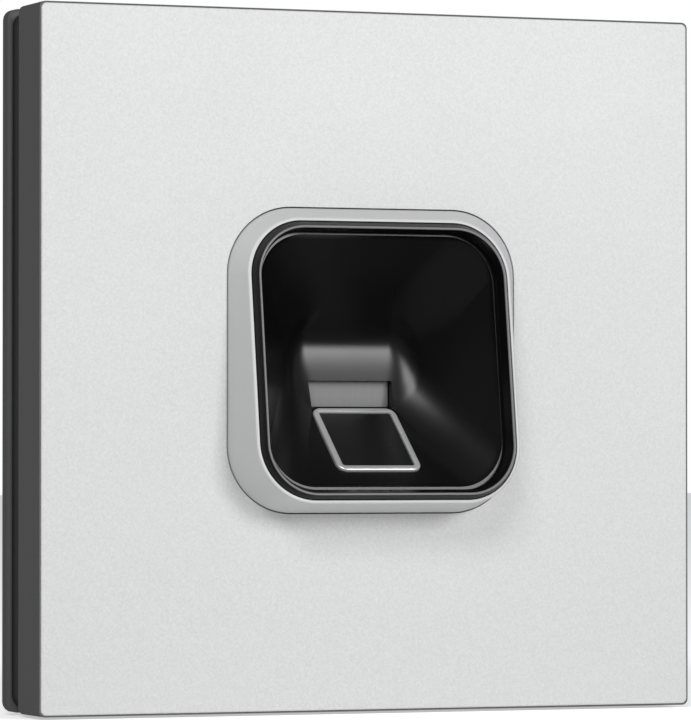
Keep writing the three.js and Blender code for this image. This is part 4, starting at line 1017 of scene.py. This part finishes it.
@dataclass
class StatusWindow:
    """The frosted light window and the recess it sits in."""

    half_width: float = 6.9 * MM
    low_z: float = -7 * MM
    high_z: float = -2.9 * MM
    wall: float = 1.2 * MM
    gap: float = 0.05 * MM
    foot_reach: float = 0.5 * MM
    corner: float = 0.3 * MM
    corner_steps: int = 6
    edge: float = 0.12 * MM

    @property
    def back(self) -> float:
        """The depth of the window's back."""
        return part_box("status_window")[1].y + self.gap

    def housing(self, front: float) -> list[bpy.types.Object]:
        """Makes what frames the window and carries the light board.

        Args:
            front: The depth at which the frame starts.

        Returns:
            The solids to join.
        """
        outside = self.half_width + self.wall
        low = Vector((-outside, front, self.low_z - self.wall))
        high = Vector((outside, self.back, self.high_z + self.wall))
        solids = [block("window_housing", low, high)]
        for side in (-1, 1):
            ends = sorted((side * (self.half_width + self.gap), side * (outside - self.gap)))
            low = Vector((ends[0], self.back - self.foot_reach, self.low_z))
            high = Vector((ends[1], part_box("led_board")[0].y - self.gap, self.high_z))
            solids.append(block("board_foot", low, high))
        return solids

    def opening(self, front: float) -> bpy.types.Object:
        """Makes what the recess is cut with.

        Args:
            front: The depth at which the cut starts.

        Returns:
            The solid to cut with.
        """
        low = Vector((-self.half_width, front, self.low_z))
        high = Vector((self.half_width, self.back + OVERRUN, self.high_z))
        return block("window_opening", low, high)

    def build(self, wardrobe: Wardrobe) -> None:
        """Builds and dresses the window.

        Args:
            wardrobe: Gives each piece its finish, body and place in the table.
        """
        low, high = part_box("status_window")
        height = (high.z - low.z) / 2
        outline = Outline(high.x, height, self.corner, (high.z + low.z) / 2)
        levels = [Level(outline, high.y), Level(outline, low.y, rounding=self.edge)]
        piece = Skin(self.corner_steps).cover(levels).piece("light_window")
        weigh_normals(piece)
        wardrobe.dress(piece, "status_window")


@dataclass
class Funnel:
    """The black insert: its rim, the finger's hollow, the sensor's seat and the window's recess."""

    rim: Rim
    sensor: Sensor
    window: StatusWindow
    gap: float = 0.1 * MM
    chamfer: float = 0.75 * MM
    crest_edge: float = 0.07 * MM
    crest_steps: int = 2
    land: float = 0.1 * MM
    land_edge: float = 0.14 * MM
    land_blend: float = 0.05 * MM
    land_depth: float = 0.02 * MM
    depth: float = 10.5 * MM
    shell: float = 1.5 * MM
    shell_cap: float = 1.2 * MM
    shell_steps: int = 16
    ring_wall: float = 1.2 * MM
    ring_depth: float = 1.9 * MM
    ring_edge: float = 0.12 * MM
    lip_inset: float = 0.9 * MM
    lip_depth: float = 0.7 * MM
    lip_blend: float = 0.4 * MM
    lip_steps: int = 4
    throat_blend: float = 1.2 * MM
    throat_steps: int = 6
    ceiling_depth: float = 2.6 * MM
    heel_setback: float = 3.1 * MM
    heel_top: float = 8.2 * MM
    heel_half_width: float = 11.3 * MM
    heel_radius: float = 7.0 * MM
    waist_share: float = 0.45
    waist_radius: float = 7.2 * MM
    end_top: float = 4.2 * MM
    end_bottom: float = 0.5 * MM
    end_z: float = 3.0 * MM
    end_half_width: float = 6.5 * MM
    side_at_end: float = 9.2 * MM
    end_roundness: float = 0.47
    fillet_steps: int = 9
    window_block: float = 2.4 * MM

    @property
    def ring(self) -> Outline:
        """The outline of the ring in the collar's bore."""
        return self.rim.bore.grown(-self.gap)

    @property
    def crest(self) -> Outline:
        """The outline of the rim's crest."""
        return self.ring.grown(-self.chamfer)

    def spanning(
        self,
        bottom: Vector | tuple[float, float],
        top: Vector | tuple[float, float],
        half_width: float,
        radius: float,
        rounding: float,
    ) -> Level:
        """Makes a level through a bottom and a top point.

        Args:
            bottom: Depth and height of its lowest point.
            top: Depth and height of its highest point.
            half_width: Half its width.
            radius: Its corners.
            rounding: How far its edge is blended.

        Returns:
            The level.
        """
        lean = (top[0] - bottom[0]) / (top[1] - bottom[1])
        centre = (top[1] + bottom[1]) / 2
        outline = Outline(half_width, (top[1] - bottom[1]) / 2, radius, centre)
        depth = bottom[0] - lean * bottom[1]
        return Level(outline, depth, lean, rounding, self.throat_steps)

    def hollow(self) -> list[Level]:
        """Works out the levels of the finger's hollow behind its lip.

        Returns:
            The levels, from the lip to the deepest line.
        """
        rim, crest = self.rim, self.crest
        low_z = self.lip_inset - crest.half_height
        top_depth = rim.plane(rim.rim_reach) + rim.lean * crest.half_height + self.ceiling_depth
        lip_bottom = Vector((self.sensor.floor_depth(low_z), low_z))
        lip_top = Vector((top_depth, -low_z))
        lip_half = crest.half_width - self.lip_inset
        heel = rim.face + self.depth - self.heel_setback
        heel_bottom = Vector((heel, self.sensor.floor_z(heel)))
        heel_top = Vector((heel, self.heel_top))
        share = self.waist_share
        waist_half = lip_half + (self.heel_half_width - lip_half) * share
        lip_radius = crest.radius - self.lip_inset / 2
        levels = [
            self.spanning(lip_bottom, lip_top, lip_half, lip_radius, self.throat_blend),
            self.spanning(
                lip_bottom.lerp(heel_bottom, share), lip_top.lerp(heel_top, share),
                waist_half, self.waist_radius, 0.0,
            ),
        ]
        for step in range(self.fillet_steps):
            levels.append(self.fillet(step / self.fillet_steps, heel_bottom, heel_top))
        return levels

    def fillet(self, share: float, bottom: Vector, top: Vector) -> Level:
        """Makes a level of the deep end, where the ceiling, floor and sides meet in one curve.

        Args:
            share: How far along the curve it is, from 0 at the heel to 1 at the deepest line.
            bottom: Depth and height of the heel's floor.
            top: Depth and height of the heel's ceiling.

        Returns:
            The level.
        """
        end = self.rim.face + self.depth

        def curve(start: float, corner: float, finish: float) -> float:
            """Returns a point on the curve that leaves the start for the corner."""
            rest = 1 - share
            return rest * rest * start + 2 * share * rest * corner + share * share * finish

        depth = curve(top.x, end, end)
        high = curve(top.y, self.end_top, self.end_z)
        low = curve(bottom.y, self.end_bottom, self.end_z)
        half_width = curve(self.heel_half_width, self.side_at_end, self.end_half_width)
        radius = min(self.heel_radius, self.end_roundness * (high - low))
        return self.spanning((depth, low), (depth, high), half_width, radius, 0.0)

    def cavity(self) -> bpy.types.Object:
        """Makes what the hollow is cut with.

        Returns:
            The solid to cut with.
        """
        front = self.rim.plane(self.rim.rim_reach)
        lean = self.rim.lean
        mouth = self.crest.grown(-self.land)
        land = self.crest.grown(-self.land - self.land_edge)
        lip = self.crest.grown(-self.lip_inset / 2, -self.lip_inset / 4)
        levels = [
            Level(mouth, front - OVERRUN, lean),
            Level(mouth, front + self.land_depth, lean),
            Level(land, front + self.land_edge, lean, self.land_blend, self.crest_steps),
            Level(lip, front + self.lip_depth, lean, self.lip_blend, self.lip_steps),
            *self.hollow(),
        ]
        return Skin(RIM_STEPS).cover(levels).piece("cavity")

    def body(self) -> bpy.types.Object:
        """Makes the rim with its flange, hollow behind.

        Returns:
            The start of the insert.
        """
        rim, ring = self.rim, self.ring
        flange_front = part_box("collar")[1].y + self.gap / 2
        flange_back = flange_front + rim.flange_thickness
        levels = [
            Level(
                self.crest, rim.plane(rim.rim_reach), rim.lean, self.crest_edge, self.crest_steps
            ),
            Level(ring, rim.plane(rim.collar_reach), rim.lean, self.ring_edge),
            Level(ring, flange_front + rim.flange_thickness / 2),
        ]
        body = Skin(RIM_STEPS).cover(levels).piece("funnel_insert")
        combine(body, Combine.JOIN, [rim.flange_slab(flange_front)])
        inside = ring.grown(-self.ring_wall)
        levels = [
            Level(inside, rim.plane(rim.rim_reach - self.ring_depth), rim.lean),
            Level(inside, flange_back + OVERRUN),
        ]
        combine(body, Combine.CUT, [Skin(RIM_STEPS).cover(levels).piece("ring_inside")])
        return body

    def shell_solid(self) -> bpy.types.Object:
        """Makes the wall round the hollow, solid.

        Returns:
            The solid to join.
        """
        levels = [
            replace(level, outline=level.outline.grown(self.shell), rounding=0.0)
            for level in self.hollow()
        ]
        last = levels[-1]
        levels.append(replace(last, depth=last.depth + self.shell_cap))
        return Skin(self.shell_steps).cover(levels).piece("shell")

    def build(self, wardrobe: Wardrobe) -> None:
        """Builds and dresses the insert.

        Args:
            wardrobe: Gives each piece its finish, body and place in the table.
        """
        window_front = self.rim.face + self.depth - self.window_block
        piece = self.body()
        housing = self.window.housing(window_front)
        combine(piece, Combine.JOIN, [self.shell_solid(), *self.sensor.mounts(), *housing])
        opening = self.window.opening(window_front - 2 * OVERRUN)
        combine(piece, Combine.CUT, [self.cavity(), opening, *self.sensor.pockets()])
        front, lean = self.rim.plane(self.rim.rim_reach), self.rim.lean
        # the rim's crest gets a pale line in its material: a painted highlight
        satin = {**asdict(FINISHES["black_plastic"]), "name": "satin_black_painted_crest_highlight"}
        wardrobe.dress(piece, "finger_funnel", PaintedCrestHighlight(**satin, front=front, lean=lean))


@dataclass(frozen=True)
class Softened:
    """A piece that keeps its node's shape and has its edges rounded."""

    node: str
    name: str
    edge: float
    steps: int = 2
    sharpest: float = math.radians(32)
    flat: float = math.radians(0.6)

    def build(self, wardrobe: Wardrobe) -> None:
        """Builds and dresses the piece.

        Args:
            wardrobe: Gives each piece its finish, body and place in the table.
        """
        bm = bmesh.new()
        bm.from_mesh(frame["nodes"][self.node].data)
        bmesh.ops.remove_doubles(bm, verts=bm.verts, dist=MERGE)
        bmesh.ops.dissolve_limit(bm, angle_limit=self.flat, verts=bm.verts, edges=bm.edges)
        piece = object_of(bm, self.name)
        rounding = piece.modifiers.new("rounded_edges", "BEVEL")
        rounding.width = self.edge
        rounding.segments = self.steps
        rounding.limit_method = "ANGLE"
        rounding.angle_limit = self.sharpest
        rounding.use_clamp_overlap = True
        rounding.harden_normals = True
        wardrobe.dress(piece, self.node)


SOFTENED = [
    Softened("carrier_frame", "carrier_body", 0.1 * MM),
    Softened("rear_cover", "back_cover", 0.12 * MM),
    Softened("wall_plate", "mounting_plate", 0.12 * MM),
    Softened("wall_gasket", "wall_seal", 0.15 * MM),
    Softened("terminal_block", "wire_terminal", 0.08 * MM),
    Softened("tamper_plunger", "tamper_pin", 0.1 * MM),
    Softened("release_latch", "release_slide", 0.08 * MM),
]


@dataclass
class LatchSpring:
    """The round-wire spring over the latch, which shortens as the latch is pulled down."""

    wire: float = 0.17 * MM
    turns: int = 4
    steps: int = 28
    sides: int = 10

    def build(self, wardrobe: Wardrobe) -> None:
        """Builds and dresses the spring.

        Args:
            wardrobe: Gives each piece its finish, body and place in the table.
        """
        low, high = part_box("latch_spring")
        centre = (low + high) / 2
        radius = (high.x - low.x) / 2 - self.wire
        rise = high.z - low.z - 2 * self.wire
        bm = bmesh.new()
        upright = Matrix.Translation((radius, 0, 0)) @ Matrix.Rotation(math.pi / 2, 4, "X")
        bmesh.ops.create_circle(
            bm, cap_ends=True, segments=self.sides, radius=self.wire, matrix=upright
        )
        steps = self.turns * self.steps
        bmesh.ops.spin(
            bm, geom=[*bm.verts, *bm.edges, *bm.faces], cent=(0, 0, 0), axis=(0, 0, 1),
            dvec=(0, 0, rise / steps), angle=self.turns * 2 * math.pi, steps=steps,
            use_merge=False, use_duplicate=False,
        )
        start = Matrix.Translation((centre.x, centre.y, low.z + self.wire))
        bmesh.ops.transform(bm, matrix=start, verts=bm.verts)
        face_outwards(bm)
        piece = object_of(bm, "latch_coil")
        wardrobe.dress(piece, "latch_spring")
        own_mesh(piece)


# ---- Studio ----


@dataclass(frozen=True)
class SoftBox:
    """A soft rectangular light that faces the terminal."""

    name: str
    place: tuple[float, float, float]
    size: tuple[float, float]
    watts: float

    def build(self) -> None:
        """Sets the light up."""
        data = bpy.data.lights.new(self.name, "AREA")
        data.shape = "RECTANGLE"
        data.size, data.size_y = self.size
        data.energy = self.watts
        light = bpy.data.objects.new(self.name, data)
        bpy.context.scene.collection.objects.link(light)
        turn = (-Vector(self.place)).to_track_quat("-Z", "Y").to_matrix().to_4x4()
        light.matrix_world = Matrix.Translation(self.place) @ turn


@dataclass
class Studio:
    """The camera, the floor and the lights."""

    camera_place: tuple[float, float, float] = (-0.29523, -0.74074, -0.01423)
    right: tuple[float, float, float] = (0.92772, -0.37327, 0.0)
    forward: tuple[float, float, float] = (0.37320, 0.92757, 0.01841)
    lens: float = 256.47
    film: float = 36.0
    nearest: float = 0.01
    floor_drop: float = 0.4 * MM
    floor_size: float = 8.0
    floor_paint: FloorPaint = FloorPaint(
        "floor_paint", (0.92, 0.92, 0.92), 0.8, grain=20 * MM, grain_depth=0.1 * MM,
        grain_tone=0.01, drift=400 * MM, drift_tone=0.01,
    )
    world_light: float = 0.2
    background: float = 1.0
    lights: tuple[SoftBox, ...] = (
        SoftBox("key", (-0.75, -1.2, 1.0), (0.7, 0.5), 15.0),
        SoftBox("front", (0.49, -1.17, 0.44), (0.45, 0.36), 9.0),
    )

    def set_camera(self) -> None:
        """Sets the camera up."""
        data = bpy.data.cameras.new("camera")
        data.lens = self.lens
        data.sensor_width = self.film
        data.sensor_fit = "AUTO"
        data.clip_start = self.nearest
        camera = bpy.data.objects.new("camera", data)
        bpy.context.scene.collection.objects.link(camera)
        forward = Vector(self.forward).normalized()
        right = Vector(self.right).normalized()
        up = right.cross(forward)
        turn = Matrix((right, up, -forward)).transposed().to_4x4()
        camera.matrix_world = Matrix.Translation(self.camera_place) @ turn
        bpy.context.scene.camera = camera

    def lay_floor(self) -> None:
        """Lays a pale floor under the terminal."""
        bm = bmesh.new()
        place = Matrix.Translation((0.0, 0.0, CAD_BOX[0].z - self.floor_drop))
        bmesh.ops.create_grid(bm, x_segments=1, y_segments=1, size=self.floor_size / 2, matrix=place)
        floor = object_of(bm, "floor")
        floor.data.materials.append(self.floor_paint.make())
        floor.visible_glossy = False

    def light_world(self) -> None:
        """Lights the scene softly all round, before a white background."""
        world = bpy.data.worlds.new("studio")
        bpy.context.scene.world = world
        world.use_nodes = True
        sky = NodeTree(world.node_tree)
        seen = sky.node("ShaderNodeLightPath", {}, {}, "Is Camera Ray")
        around, behind = (
            sky.node("ShaderNodeBackground", {}, {"Color": WHITE, "Strength": strength})
            for strength in (self.world_light, self.background)
        )
        mix = sky.node("ShaderNodeMixShader", {}, {0: seen, 1: around, 2: behind})
        sky.add("ShaderNodeOutputWorld", {}, {"Surface": mix})

    def build(self) -> None:
        """Sets up the whole studio."""
        bpy.context.scene.view_settings.view_transform = "Standard"
        self.set_camera()
        self.lay_floor()
        self.light_world()
        for light in self.lights:
            light.build()


def main() -> None:
    """Builds the terminal's pieces in order, then the studio."""
    logging.basicConfig(level=logging.INFO, format="%(name)s: %(message)s")
    wardrobe = Wardrobe()
    rim = Rim()
    sensor = Sensor(rim)
    window = StatusWindow()
    assemblies = [
        FrontSheet(rim), Collar(rim), sensor, window, Funnel(rim, sensor, window), *SOFTENED,
        LatchSpring(),
    ]
    for assembly in assemblies:
        assembly.build(wardrobe)
    wardrobe.dress_the_rest()
    Studio().build()


if __name__ == "__main__":
    main()
